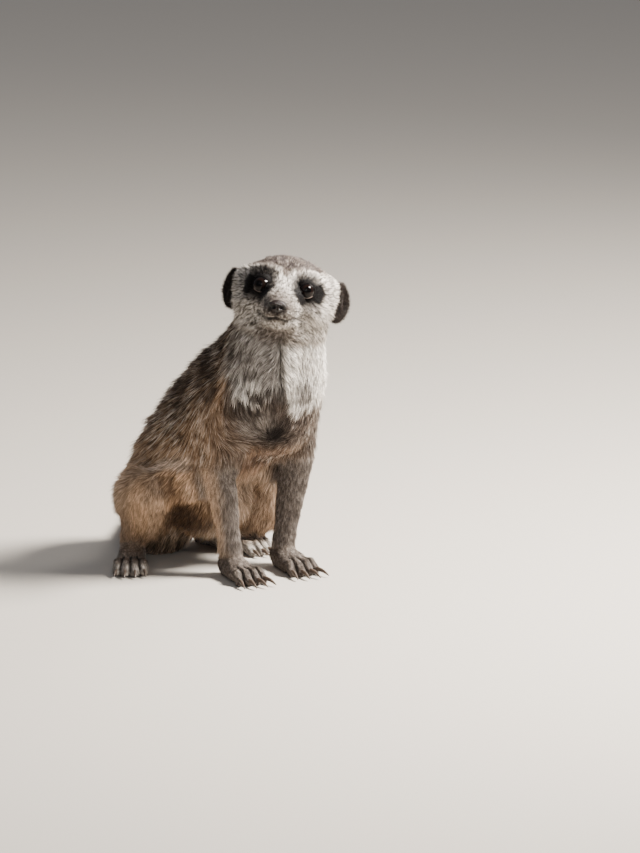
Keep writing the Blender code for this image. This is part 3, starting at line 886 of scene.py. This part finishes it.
    # Legs: tan thighs and shanks, grey forelegs with a tan outer and back edge, paler feet.
    outer_back = step(facing_out_and_back(normals, part, nodes), -0.3, 0.9)
    warm = most(
        border * 0.5,
        on("forearm", "forepaw") * outer_back * step(height, 4, 30) * 0.85,
        on("upper_arm") * (1 - breast) * (0.1 + 0.4 * outer_back),
        on("thigh", "shank") * 0.6 + on(*TAIL) * 0.4,
        on("hind_foot") * most(step(height, 3, 16) * 0.5, step(height, 7, 12) * 0.9),
        on("loins") * (1 - step(height, 50, 92)) * 0.45,
        0.85 * fold,
        on("shank", "hind_foot", "thigh") * step(height, 5, 20) * along(SHANK_FRONT, 4, 13) * 0.9,
    )
    low_belly = on("loins") * (1 - step(height, 50, 62)) * step(-normals[:, 1], 0.1, 0.6)
    pale = most(
        breast,
        grey_patch_and_shade * 0.5,
        of_head * (1 - nape) * (0.86 - 0.45 * muzzle * (1 - 0.6 * jaw)) * (1 - 0.5 * under_jaw_shade),
        on("neck") * step(forward, 80, 92) * 0.9,
        on("thigh", "shank") * 0.15,
        low_belly * 0.2,
        on("hind_foot") * (0.65 - 0.35 * step(height, 5, 9)),
        on("forearm") * (0.38 - 0.2 * outer_back),
        on("forepaw") * 0.3,
        fold * 0.12,
        arch * 0.36,
    )
    # Pale fades under the crown and on the belly. In the groin's crease and in the hollow by the right thigh
    # it is taken out as painted shade.
    pale *= (1 - crown) * (1 - belly * 0.7) * (1 - 0.6 * groin_shade) * (1 - cavity_shade)
    # The left upper arm is painted dark grey: painted shade.
    left_arm_shade = step(points[:, 0], -14, -4)
    # Grey-brown over much of the coat. On the throat, under the jaw, on parts of the breast and on the left
    # upper arm it is painted shade.
    smoke_and_shade = most(
        specks,
        grey_patch_and_shade * 0.75,
        below * 0.75,
        throat_shade * 0.85,
        halo * 0.55,
        on("forearm") * (0.8 - 0.65 * outer_back),
        on("upper_arm") * (1 - breast) * most(0.4 + 0.35 * (1 - outer_back), 0.9 * left_arm_shade),
        throat_side_shade * 0.78,
        belly * 0.35,
        on("forepaw") * 0.75,
        on("hind_foot") * 0.2,
        muzzle * (1 - 0.7 * jaw) * (0.74 + 0.26 * step(-head[:, 2], 6, 12)),
        midway_shade * 0.7,
        shade_side * 0.62,
        under_jaw_shade * 0.6,
    )
    tail_end = on("tail_tip") * step(points[:, 0] + points[:, 1], 190, 222)
    skin_lines = most(tail_end, mouth, corner, whorl, parting)
    toe_gap = between_toes(points, 0.7)
    # Dark marks, and the painted shade over the right eye.
    dark = most(patch, most(socket, ear) * 0.95, skin_lines * 0.9, nostril_skin, toe_gap * 0.8)
    low = on("loins") * (1 - step(height, 54, 86))
    ahead = step(normals @ BREAST_FACE, 0.2, 0.7) * (forward > 60)
    plain = (0.9 - 0.7 * most(breast, ahead)) * (1 - 0.85 * fold) * (1 - 0.45 * low)
    grizzle = most(
        body * plain,
        of_head * 0.9 * (1 - 0.5 * muzzle) * (1 - 0.7 * under_jaw_shade) * (1 - 0.88 * crown),
        on("thigh") * 0.3,
        on("shank", "forearm", "forepaw", "hind_foot") * 0.12,
        on(*TAIL) * 0.55,
        ear * 0.1,
    )
    return {
        "dark": dark,
        "pale": pale,
        "warm": warm,
        "stripe_and_shade": stripe_and_shade,
        "grizzle": grizzle,
        "smoke_and_shade": smoke_and_shade,
        "pink": belly * 0.3,
        "crown": most(crown, nape * 0.8),
    }


MARKS = {
    "marks_a": ("dark", "pale", "warm"),
    "marks_b": ("stripe_and_shade", "grizzle", "smoke_and_shade"),
    "marks_c": ("bare_and_glint", "pink", "crown"),
}


def store(mesh, name, values):
    kind = "FLOAT_VECTOR" if values.ndim == 2 else "FLOAT"
    made = mesh.attributes.new(name, kind, "POINT")
    made.data.foreach_set("vector" if values.ndim == 2 else "value", values.astype(np.float32).ravel())


def describe_skin(skin, part, nodes):
    """Stores on the skin how its coat grows and lies and how it is marked, with its painted shade and the
    painted reflection on the lower lids.
    """
    mesh = skin.data
    points, edges, normals = read_points(mesh), read_edges(mesh), read_normals(mesh)
    grown = spread(growth(points, normals, part, nodes), edges, 22)
    lie = lie_of_hair(points, unit(spread(normals, edges, 2)), edges, part, nodes)
    # Each tuft takes the marking of the place where its outer half is seen.
    seen = points + lie * grown[:, :1] * 0.55 + unit(normals) * grown[:, 2:]
    marks = markings_and_shade(seen, normals, edges, part, nodes)
    bald, rim = np.zeros(len(points)), np.zeros(len(points))
    for side in SIDES:
        share, distance = lid_place(points, side)
        close = distance < EYE_RADIUS * 1.6
        bald = np.maximum(bald, (1 - step(share, 1.12, 1.25)) * close)
        # Along the lower lid a pale rim is painted: a painted reflection of its wet edge.
        drop = -((points - eye_centre(side)) @ eye_axes(side))[:, 1]
        rim = np.maximum(rim, (1 - step(share, 0.99, 1.09)) * step(drop, 1.6, 3.2) * close)
    marks["bare_and_glint"] = bald + rim
    folded = folded_in_head(points)
    bald = most(
        bald,
        blob(folded, NOSE_IN_HEAD, (4.9, 4, 3.9), 0.08),
        distance_to_line(folded, MOUTH) < 1.0,
        between_toes(points, 0.7) > 0.5,
    )
    store(mesh, "lie", lie)
    store(mesh, "growth", np.stack((grown[:, 0], np.sin(np.radians(grown[:, 1])), 1 - bald), 1))
    for attribute, names in MARKS.items():
        store(mesh, attribute, np.stack([marks[n] for n in names], 1))
    bpy.ops.object.select_all(action="DESELECT")
    bpy.context.view_layer.objects.active = skin
    skin.select_set(True)
    bpy.ops.object.mode_set(mode="EDIT")
    bpy.ops.mesh.select_all(action="SELECT")
    bpy.ops.uv.smart_project(angle_limit=math.radians(80), island_margin=0.002)
    bpy.ops.object.mode_set(mode="OBJECT")
    mesh.uv_layers[0].name = "OFBake"


# ---- tufts ----


def tuft_tree():
    """The node tree that grows tufts on a patch of skin."""
    inputs = {
        "Geometry": ("Geometry", None),
        "Tufts per square metre": ("Float", 2e6),
        "Sides along": ("Int", 2),
        "Width": ("Float", 0.0005),
        "Flatness": ("Float", 0.6),
        "Curl": ("Float", 0.12),
        "Ruffle": ("Float", 0.12),
        "Lock size": ("Float", 0.005),
        "Lock strength": ("Float", 0.25),
        "Floor": ("Float", 0.0002),
        "Bake patch": ("Float", 0.003),
        "Speckle size": ("Float", 0.002),
        "Seed": ("Int", 0),
        "Material": ("Material", None),
    }
    outputs = {"Geometry": ("Geometry", None)}
    tree, wire, given, result = new_group("tufts", "GeometryNodeTree", inputs, outputs)

    def named(name, data_type="FLOAT_VECTOR"):
        return wire.geometry("InputNamedAttribute", {"Name": name}, data_type=data_type)

    def stored(geometry, name, value, data_type="FLOAT_VECTOR", domain="POINT"):
        kept = {"Geometry": geometry, "Name": name, "Value": value}
        return wire.geometry("StoreNamedAttribute", kept, data_type=data_type, domain=domain)

    position = wire.geometry("InputPosition", {})

    # One tuft: a three-sided spike of unit length that is fuller in the middle and curls towards the skin.
    cone = {"Vertices": 3, "Side Segments": given["Sides along"], "Radius Bottom": 0.5, "Depth": 1.0}
    spike = wire.geometry("MeshCone", cone | {"Radius Top": 0.0}, fill_type="NGON")
    x, y, along = wire.parts(position)
    full = wire.math("ADD", 1.0, wire.times(along, wire.math("SUBTRACT", 1.0, along), 2.4))
    bend = wire.times(along, along, given["Curl"])
    shaped = wire.joined(wire.math("SUBTRACT", wire.times(x, full), bend), wire.times(y, full), along)
    spike = stored(spike, "along", along, "FLOAT")
    spike = stored(spike, "patch", wire.joined(y, wire.math("SUBTRACT", along, 0.5), 0.0))
    spike = wire.geometry("SetPosition", {"Geometry": spike, "Position": shaped})

    # Roots.
    length, lift, density = wire.parts(named("growth"))
    density = wire.times(given["Tufts per square metre"], density)
    scatter = {"Mesh": given["Geometry"], "Density": density, "Seed": given["Seed"]}
    roots = wire.add("GeometryNodeDistributePointsOnFaces", scatter, distribute_method="RANDOM")
    points, normal = roots.outputs["Points"], roots.outputs["Normal"]

    def chance(low, high, salt):
        kind = "FLOAT_VECTOR" if isinstance(low, tuple) else "FLOAT"
        node = wire.add("FunctionNodeRandomValue", data_type=kind)
        for key, value in (("Min", low), ("Max", high)):
            wire.join(value, [s for s in node.inputs if s.name == key and s.enabled][0])
        wire.join(wire.math("ADD", given["Seed"], float(salt)), node.inputs["Seed"])
        return [s for s in node.outputs if s.enabled][0]

    points = stored(points, "strand", chance(0.0, 1.0, 1), "FLOAT")
    tone = wire.noise(position, wire.math("DIVIDE", 1.0, given["Speckle size"]), 1.0)[0]
    points = stored(points, "tone", tone, "FLOAT")
    points = stored(points, "root_normal", normal)
    points = stored(points, "root_place", named("OFBake"))

    # Each tuft points along the lie, lifted off the skin, swayed with its neighbours and ruffled alone.
    flat = wire.math("SQRT", wire.math("SUBTRACT", 1.0, wire.times(lift, lift)))
    off_skin = wire.scaled(normal, wire.times(lift, chance(0.5, 1.5, 2)))
    way = wire.vector("ADD", wire.scaled(named("lie"), flat), off_skin)
    sway = wire.noise(position, wire.math("DIVIDE", 1.0, given["Lock size"]), 1.0)["Color"]
    sway = wire.vector("SUBTRACT", sway, (0.5, 0.5, 0.5))
    sway = wire.scaled(sway, wire.times(given["Lock strength"], 4.0))
    ruffle = wire.scaled(chance((-1.0, -1.0, -1.0), (1.0, 1.0, 1.0), 3), given["Ruffle"])
    way = wire.vector("ADD", way, wire.vector("ADD", sway, ruffle))
    # No tuft points into the skin.
    inwards = wire.math("SUBTRACT", wire.vector("DOT_PRODUCT", way, normal), 0.05)
    way = wire.vector("SUBTRACT", way, wire.scaled(normal, wire.math("MINIMUM", inwards, 0.0)))
    turn = wire.add("FunctionNodeAlignRotationToVector", {"Vector": way}, axis="Z").outputs[0]
    facing = {"Rotation": turn, "Vector": normal}
    turn = wire.add("FunctionNodeAlignRotationToVector", facing, axis="X", pivot_axis="Z").outputs[0]
    long = wire.times(length, MM, chance(0.65, 1.2, 4))
    wide = wire.times(given["Width"], chance(0.7, 1.3, 5))
    size = wire.joined(wire.times(wide, given["Flatness"]), wide, long)
    planted = {"Points": points, "Instance": spike, "Rotation": turn, "Scale": size}
    tufts = wire.geometry("InstanceOnPoints", planted)
    tufts = wire.geometry("RealizeInstances", {"Geometry": tufts})
    px, py, pz = wire.parts(position)
    above = wire.joined(px, py, wire.math("MAXIMUM", pz, given["Floor"]))
    tufts = wire.geometry("SetPosition", {"Geometry": tufts, "Position": above})
    place = wire.vector("ADD", named("root_place"), wire.scaled(named("patch"), given["Bake patch"]))
    tufts = stored(tufts, "OFBake", place, "FLOAT2", "CORNER")
    for name in ("patch", "root_place", "lie", "growth"):
        tufts = wire.geometry("RemoveAttribute", {"Geometry": tufts, "Name": name})
    tufts = wire.geometry("SetMaterial", {"Geometry": tufts, "Material": given["Material"]})
    wire.join(tufts, result.inputs[0])
    return tree


# Coat pieces: the parts that each grows on and which area of them, tufts per square millimetre, steps along a
# tuft, width, size of the flecks and a slot name.
COATS = {
    "face_coat": (("head",), "face", 9.0, 1, 0.25, 1.25, "pale_coat"),
    "crown_coat": (("head",), "crown", 3.0, 2, 0.32, 1.1, "pale_coat"),
    "ear_coat": (("ear",), None, 7.0, 1, 0.28, 1.2, "ear_coat"),
    "neck_coat": (("neck",), None, 2.3, 2, 0.4, 1.8, "pale_coat"),
    "chest_coat": (("chest",), None, 2.2, 2, 0.44, 2.2, "grizzled_coat"),
    "right_flank_coat": (("loins",), "right", 2.0, 2, 0.48, 2.4, "grizzled_coat"),
    "left_flank_coat": (("loins",), "left", 1.9, 2, 0.48, 2.4, "grizzled_coat"),
    "arm_coat": (("upper_arm",), None, 2.6, 2, 0.4, 2.0, "grizzled_coat"),
    "foreleg_coat": (("forearm", "forepaw"), None, 4.6, 1, 0.3, 1.5, "tan_coat"),
    "thigh_coat": (("thigh",), None, 2.3, 2, 0.42, 2.0, "tan_coat"),
    "hind_leg_coat": (("shank", "hind_foot"), None, 3.8, 1, 0.33, 1.5, "tan_coat"),
    "tail_coat": (TAIL, None, 1.9, 2, 0.44, 2.0, "tail_coat"),
}


def patch_of(skin, name, chosen):
    """A copy of the skin with only the faces whose first corner is chosen."""
    patch = new_object(name, skin.data.copy())
    with editing(patch.data) as whole:
        spare = [face for face in whole.faces if not chosen[face.verts[0].index]]
        bmesh.ops.delete(whole, geom=spare, context="FACES")
    return patch


def soften_normals(mesh, share=0.55):
    """Leans the tufts' normals towards the skin's, as light spreads through fur."""
    own, root = read_normals(mesh), read(mesh.attributes["root_normal"].data, "vector")
    smooth_shaded(mesh)
    mesh.normals_split_custom_set_from_vertices(unit(own * (1 - share) + root * share).tolist())
    mesh.attributes.remove(mesh.attributes["root_normal"])


def grow_coats(skin, part, nodes, finish):
    tree = tuft_tree()
    name = names_of(part, nodes)
    points = read_points(skin.data)
    head = in_head(points)
    where = {
        None: np.ones(len(points), bool),
        "face": head[:, 1] < -4,
        "crown": head[:, 1] >= -4,
        "left": points[:, 0] > -30,
        "right": points[:, 0] <= -30,
    }
    for seed, (coat, (grows_on, area, density, steps, width, speckle, slot)) in enumerate(COATS.items()):
        patch = patch_of(skin, coat, np.isin(name, grows_on) & where[area])
        modifier = patch.modifiers.new("tufts", "NODES")
        modifier.node_group = tree
        values = {
            "Tufts per square metre": density * 1e6,
            "Sides along": steps,
            "Width": width * MM,
            "Speckle size": speckle * MM,
            "Seed": seed,
            "Material": finish,
        }
        for item in tree.interface.items_tree:
            if item.in_out == "INPUT" and item.name in values:
                modifier[item.identifier] = values[item.name]
        patch.data = finished_mesh(patch)
        soften_normals(patch.data)
        patch.data.name = coat
        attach(patch, "root")


# ---- finishes ----


def colours_group():
    """The animal's marks, with painted shade and a painted reflection: each mask lays its colour over the ones
    before it.
    """
    inputs = {
        "Marks A": ("Vector", (0, 0, 0)),
        "Marks B": ("Vector", (0, 0, 0)),
        "Marks C": ("Vector", (0, 0, 0)),
        "Strand": ("Float", 0.5),
        "Tone": ("Float", 0.5),
        "Along": ("Float", 0.5),
        "Ground": ("Color", colour(126, 101, 79)),
        "Warm": ("Color", colour(216, 170, 126)),
        "Pale": ("Color", colour(240, 234, 226)),
        "Crown": ("Color", colour(56, 48, 48)),
        "Smoke": ("Color", colour(88, 79, 75)),
        "Pink": ("Color", colour(140, 104, 90)),
        "Stripe": ("Color", colour(40, 30, 25)),
        "Dark": ("Color", colour(17, 14, 14)),
    }
    outputs = {"Color": ("Color", None)}
    tree, wire, given, result = new_group("coat_colours", "ShaderNodeTree", inputs, outputs)
    dark, pale, warm = wire.parts(given["Marks A"])
    stripe_and_shade, grizzle, smoke_and_shade = wire.parts(given["Marks B"])
    bare_and_glint, pink, crown = wire.parts(given["Marks C"])
    strand, tone = given["Strand"], given["Tone"]
    # Grizzled hairs: a pale band, then a dark tip; and here and there a dark hair, a dark fleck or frost.
    place = wire.math("ADD", given["Along"], wire.times(wire.math("SUBTRACT", strand, 0.5), 0.3))
    band = wire.times(wire.ramp(place, 0.35, 0.5), wire.ramp(place, 0.85, 0.7), grizzle)
    tip = wire.times(wire.ramp(place, 0.78, 0.9), grizzle)
    odd = wire.times(wire.ramp(strand, 0.8, 0.85), grizzle)
    fleck = wire.times(wire.ramp(tone, 0.53, 0.58), grizzle)
    frost = wire.times(wire.ramp(tone, 0.44, 0.37), grizzle)
    shade = given["Ground"]
    for mask, laid in (
        (warm, given["Warm"]),
        (pale, given["Pale"]),
        (crown, given["Crown"]),
        (pink, given["Pink"]),
        # Grey-brown, and also the painted shade of the throat, the jaw's underside, parts of the breast and
        # the left upper arm.
        (smoke_and_shade, given["Smoke"]),
        (wire.times(band, 0.35), colour(214, 200, 182)),
        (wire.times(wire.math("MAXIMUM", tip, odd), 0.65), given["Stripe"]),
        (wire.times(fleck, 0.85), given["Stripe"]),
        (wire.times(frost, 0.45), given["Pale"]),
        # The stripe colour lays the stripes, and also the painted shade of the groin and of the hollow by the
        # right thigh.
        (stripe_and_shade, given["Stripe"]),
        (dark, given["Dark"]),
        (bare_and_glint, given["Dark"]),
        (wire.ramp(bare_and_glint, 1.2, 1.9), colour(140, 128, 122)),  # the lower lid's wet rim: a painted reflection
    ):
        shade = wire.mix(mask, shade, laid)
    wire.join(shade, result.inputs["Color"])
    return tree


def new_material(name, plain):
    """A material, its wiring and its shader's inputs, of which the plain ones get their value here."""
    made = bpy.data.materials.new(name)
    made.use_nodes = True
    wire, shader = Wiring(made.node_tree), made.node_tree.nodes["Principled BSDF"].inputs
    for label, value in plain.items():
        wire.join(value, shader[label])
    return made, wire, shader


def object_place(wire):
    return wire.add("ShaderNodeTexCoord").outputs["Object"]


def add_bump(wire, shader, strength, height, invert=False):
    inputs = {"Strength": strength, "Distance": 0.0004, "Height": height}
    wire.join(wire.add("ShaderNodeBump", inputs, invert=invert).outputs[0], shader["Normal"])


def marked_colour(wire, group, strand, tone, along):
    node = wire.add("ShaderNodeGroup", {}, node_tree=group)
    for attribute, label in (("marks_a", "Marks A"), ("marks_b", "Marks B"), ("marks_c", "Marks C")):
        wire.join(wire.attribute(attribute)["Vector"], node.inputs[label])
    for label, value in (("Strand", strand), ("Tone", tone), ("Along", along)):
        wire.join(value, node.inputs[label])
    return node.outputs["Color"]


def coat_finish(group):
    made, wire, shader = new_material("coat", {"Roughness": 0.55, "Specular IOR Level": 0.12})
    strand, along, tone = (wire.attribute(name)["Fac"] for name in ("strand", "along", "tone"))
    shade = marked_colour(wire, group, strand, tone, along)
    # Deep in the coat the hairs are painted darker, as painted shade, and no two hairs are alike.
    depth = wire.ramp(along, 0.0, 0.75, 0.35, 1.08)
    own = wire.math("ADD", 0.68, wire.times(wire.math("FRACT", wire.times(strand, 7.31)), 0.6))
    bright = wire.times(depth, own, wire.ramp(tone, 0.62, 0.4, 0.5, 1.15))
    shade = wire.vector("MULTIPLY", shade, wire.joined(bright, bright, bright))
    wire.join(shade, shader["Base Color"])
    return made


def skin_finish(group):
    made, wire, shader = new_material("skin", {"Roughness": 0.7, "Specular IOR Level": 0.05})
    place = object_place(wire)
    strand, tone = wire.noise(place, 900.0, 2.0)["Fac"], wire.noise(place, 600.0, 1.0)["Fac"]
    shade = marked_colour(wire, group, strand, tone, 0.4)
    # The skin is painted darker: painted shade in the gaps between the tufts.
    wire.join(wire.mix(1.0, shade, (0.42, 0.4, 0.38, 1), "MULTIPLY"), shader["Base Color"])
    add_bump(wire, shader, 0.5, wire.noise(place, 1400.0, 3.0)["Fac"])
    return made


# ---- eyes, nose and claws ----


def add_eye(side, finish):
    """An eyeball with a clear bulge over its iris."""
    centre, axes = eye_centre(side), eye_axes(side)
    corners, faces = ball(40, 56)
    points = []
    for tilt, *across in corners:
        reach = EYE_RADIUS + 0.25 * max(0, 1 - (tilt / 0.9) ** 2)
        points.append(centre + axes @ (np.array((*across, math.cos(tilt))) * reach))
    eye = new_closed_object("eyeball_" + SIDES[side], points, faces)
    store(eye.data, "off_axis", np.array([corner[0] for corner in corners]))
    eye.data.materials.append(finish)
    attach(eye, "root")
    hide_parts("eye_" + SIDES[side])


def eye_finish():
    wet = {"Coat Weight": 0.5, "Coat Roughness": 0.06, "Coat IOR": 1.34}
    made, wire, shader = new_material("eyeball", wet | {"Roughness": 0.3, "Specular IOR Level": 0.0})
    off = wire.attribute("off_axis")["Fac"]
    # From the middle out: the pupil, the iris, its dark rim and the white, which is brown here.
    iris = wire.mix(wire.ramp(off, 0.34, 0.4), colour(3, 2, 2), colour(16, 9, 7))
    iris = wire.mix(wire.ramp(off, 0.6, 0.8), iris, colour(5, 4, 4))
    iris = wire.mix(wire.ramp(off, 1.0, 1.1), iris, colour(14, 10, 9))
    wire.join(iris, shader["Base Color"])
    return made


def add_nose():
    centre = in_head(centre_of("nose")[None])[0]
    corners, faces = ball(48, 64)
    points, hollow = [], []
    for tilt, x, z in corners:
        y, across = -math.cos(tilt), abs(x)
        # Nostrils: round ahead, with a slit that runs out and back.
        nostril = math.exp(-(((across - 0.46) / 0.21) ** 4 + ((z + 0.1) / 0.25) ** 4)) * (y < 0)
        slit = math.exp(-(((across - 0.78) / 0.17) ** 2 + ((z + 0.3) / 0.12) ** 2)) * (y < 0.2)
        groove = math.exp(-((x / 0.07) ** 2)) * (z < 0.25) * (y < 0)
        wing = math.exp(-(((across - 0.6) / 0.28) ** 2 + ((z - 0.32) / 0.26) ** 2)) * (y < 0)
        reach = 1 - 0.4 * nostril - 0.2 * slit - 0.12 * groove + 0.08 * wing
        wide = 1 - 0.3 * max(-z, 0) - 0.12 * max(z, 0)
        points.append(centre + np.array((x * 5.2 * wide, y * 3.9, z * 3.75)) * reach + (0, 0.3, 0))
        hollow.append(min(1, nostril + 0.8 * slit + 0.5 * groove))
    nose = new_closed_object("nose_leather", from_head(points), faces)
    store(nose.data, "hollow", np.array(hollow))
    nose.data.materials.append(nose_finish())
    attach(nose, "root")
    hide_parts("nose")


def nose_finish():
    plain = {"Roughness": 0.22, "Specular IOR Level": 0.24, "Coat Weight": 0.08, "Coat Roughness": 0.2}
    made, wire, shader = new_material("nose_leather", plain)
    pattern = {"Vector": object_place(wire), "Scale": 1900.0}
    cells = wire.add("ShaderNodeTexVoronoi", pattern).outputs["Distance"]
    leather = wire.mix(wire.ramp(cells, 0.2, 0.7), colour(36, 24, 20), colour(12, 9, 8))
    leather = wire.mix(wire.attribute("hollow")["Fac"], leather, colour(12, 9, 9))
    wire.join(leather, shader["Base Color"])
    add_bump(wire, shader, 0.8, cells, invert=True)
    return made


def add_whiskers():
    """Long bristles on the muzzle and over the eyes: thin curved spikes of four sides."""
    chance = np.random.default_rng(11)
    spikes = []

    def add_spike(side, root, way, length, shorter, longer):
        way = np.array(way) + chance.normal(0, 0.06, 3)
        length += chance.uniform(shorter, longer)
        spikes.append((mirrored(root, side), unit(mirrored(way, side)), length))

    for side in SIDES:
        for row in range(2):
            for k in range(3):
                root = (5.4 + 0.4 * k, -42.0 + 3.0 * k, -11.2 - 2.0 * row)
                add_spike(side, root, (0.95, -0.12 + 0.34 * k, 0.12 - 0.34 * row), 19 + 4.0 * k, -2, 3)
        for k in range(2):
            root = (9.5 + 2.4 * k, -22 + 2.2 * k, 8.2)
            add_spike(side, root, (0.3 + 0.25 * k, -0.2 + 0.2 * k, 0.9), 9, -1, 2)
    points, faces, stations, sides = [], [], 7, 4
    for root, way, length in spikes:
        first = len(points)
        across = unit(np.cross(way, (0, 0, 1)))
        other = np.cross(way, across)
        for station in range(stations):
            t = station / (stations - 1)
            centre = root + way * (length * t) + (0, 0.16 * length * t * t, -0.14 * length * t * t)
            radius = 0.075 * (1 - t) + 0.01
            for k in range(sides):
                spin = 2 * math.pi * k / sides
                points.append(centre + (across * math.cos(spin) + other * math.sin(spin)) * radius)
        last = len(points) - sides
        for near in range(first, last, sides):
            for k in range(sides):
                after = (k + 1) % sides
                faces.append((near + k, near + after, near + sides + after, near + sides + k))
        faces.append([first + k for k in range(sides)][::-1])
        faces.append([last + k for k in range(sides)])
    whiskers = new_closed_object("whiskers", from_head(points), faces)
    finish = new_material("whisker", {"Base Color": colour(26, 21, 19), "Roughness": 0.4})[0]
    whiskers.data.materials.append(finish)
    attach(whiskers, "root")


def add_claws(finish):
    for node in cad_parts:
        if not node.startswith("claw_"):
            continue
        claw = new_object(node + "_horn", welded(node, node + "_horn", 0.12))
        rounding = claw.modifiers.new("rounding", "SUBSURF")
        rounding.levels = rounding.render_levels = 2
        claw.data = finished_mesh(claw)
        smooth_shaded(claw.data)
        claw.data.materials.append(finish)
        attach(claw, "root")
        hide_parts(node)


def horn_finish():
    made, wire, shader = new_material("claw_horn", {"Roughness": 0.35})
    streak = wire.noise(object_place(wire), 500.0, 3.0)["Fac"]
    wire.join(wire.mix(streak, colour(30, 24, 21), colour(98, 82, 70)), shader["Base Color"])
    return made


# ---- the scene ----


def add_floor():
    half = FLOOR_SIZE / 2
    corners = [(-half, -half, 0), (half, -half, 0), (half, half, 0), (-half, half, 0)]
    floor = new_mesh_object("floor", corners, [(0, 1, 2, 3)])
    finish = new_material("studio_floor", {"Base Color": colour(180, 173, 164), "Roughness": 0.9})[0]
    floor.data.materials.append(finish)


add_camera()
add_lights()
add_floor()
shades = colours_group()
skin, part = make_skin()
nodes = FLESH + EARS
describe_skin(skin, part, nodes)
skin.data.materials.append(skin_finish(shades))
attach(skin, "root")
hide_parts(*FLESH, *EARS)
grow_coats(skin, part, nodes, coat_finish(shades))
eyes = eye_finish()
for side in SIDES:
    add_eye(side, eyes)
add_nose()
add_whiskers()
add_claws(horn_finish())
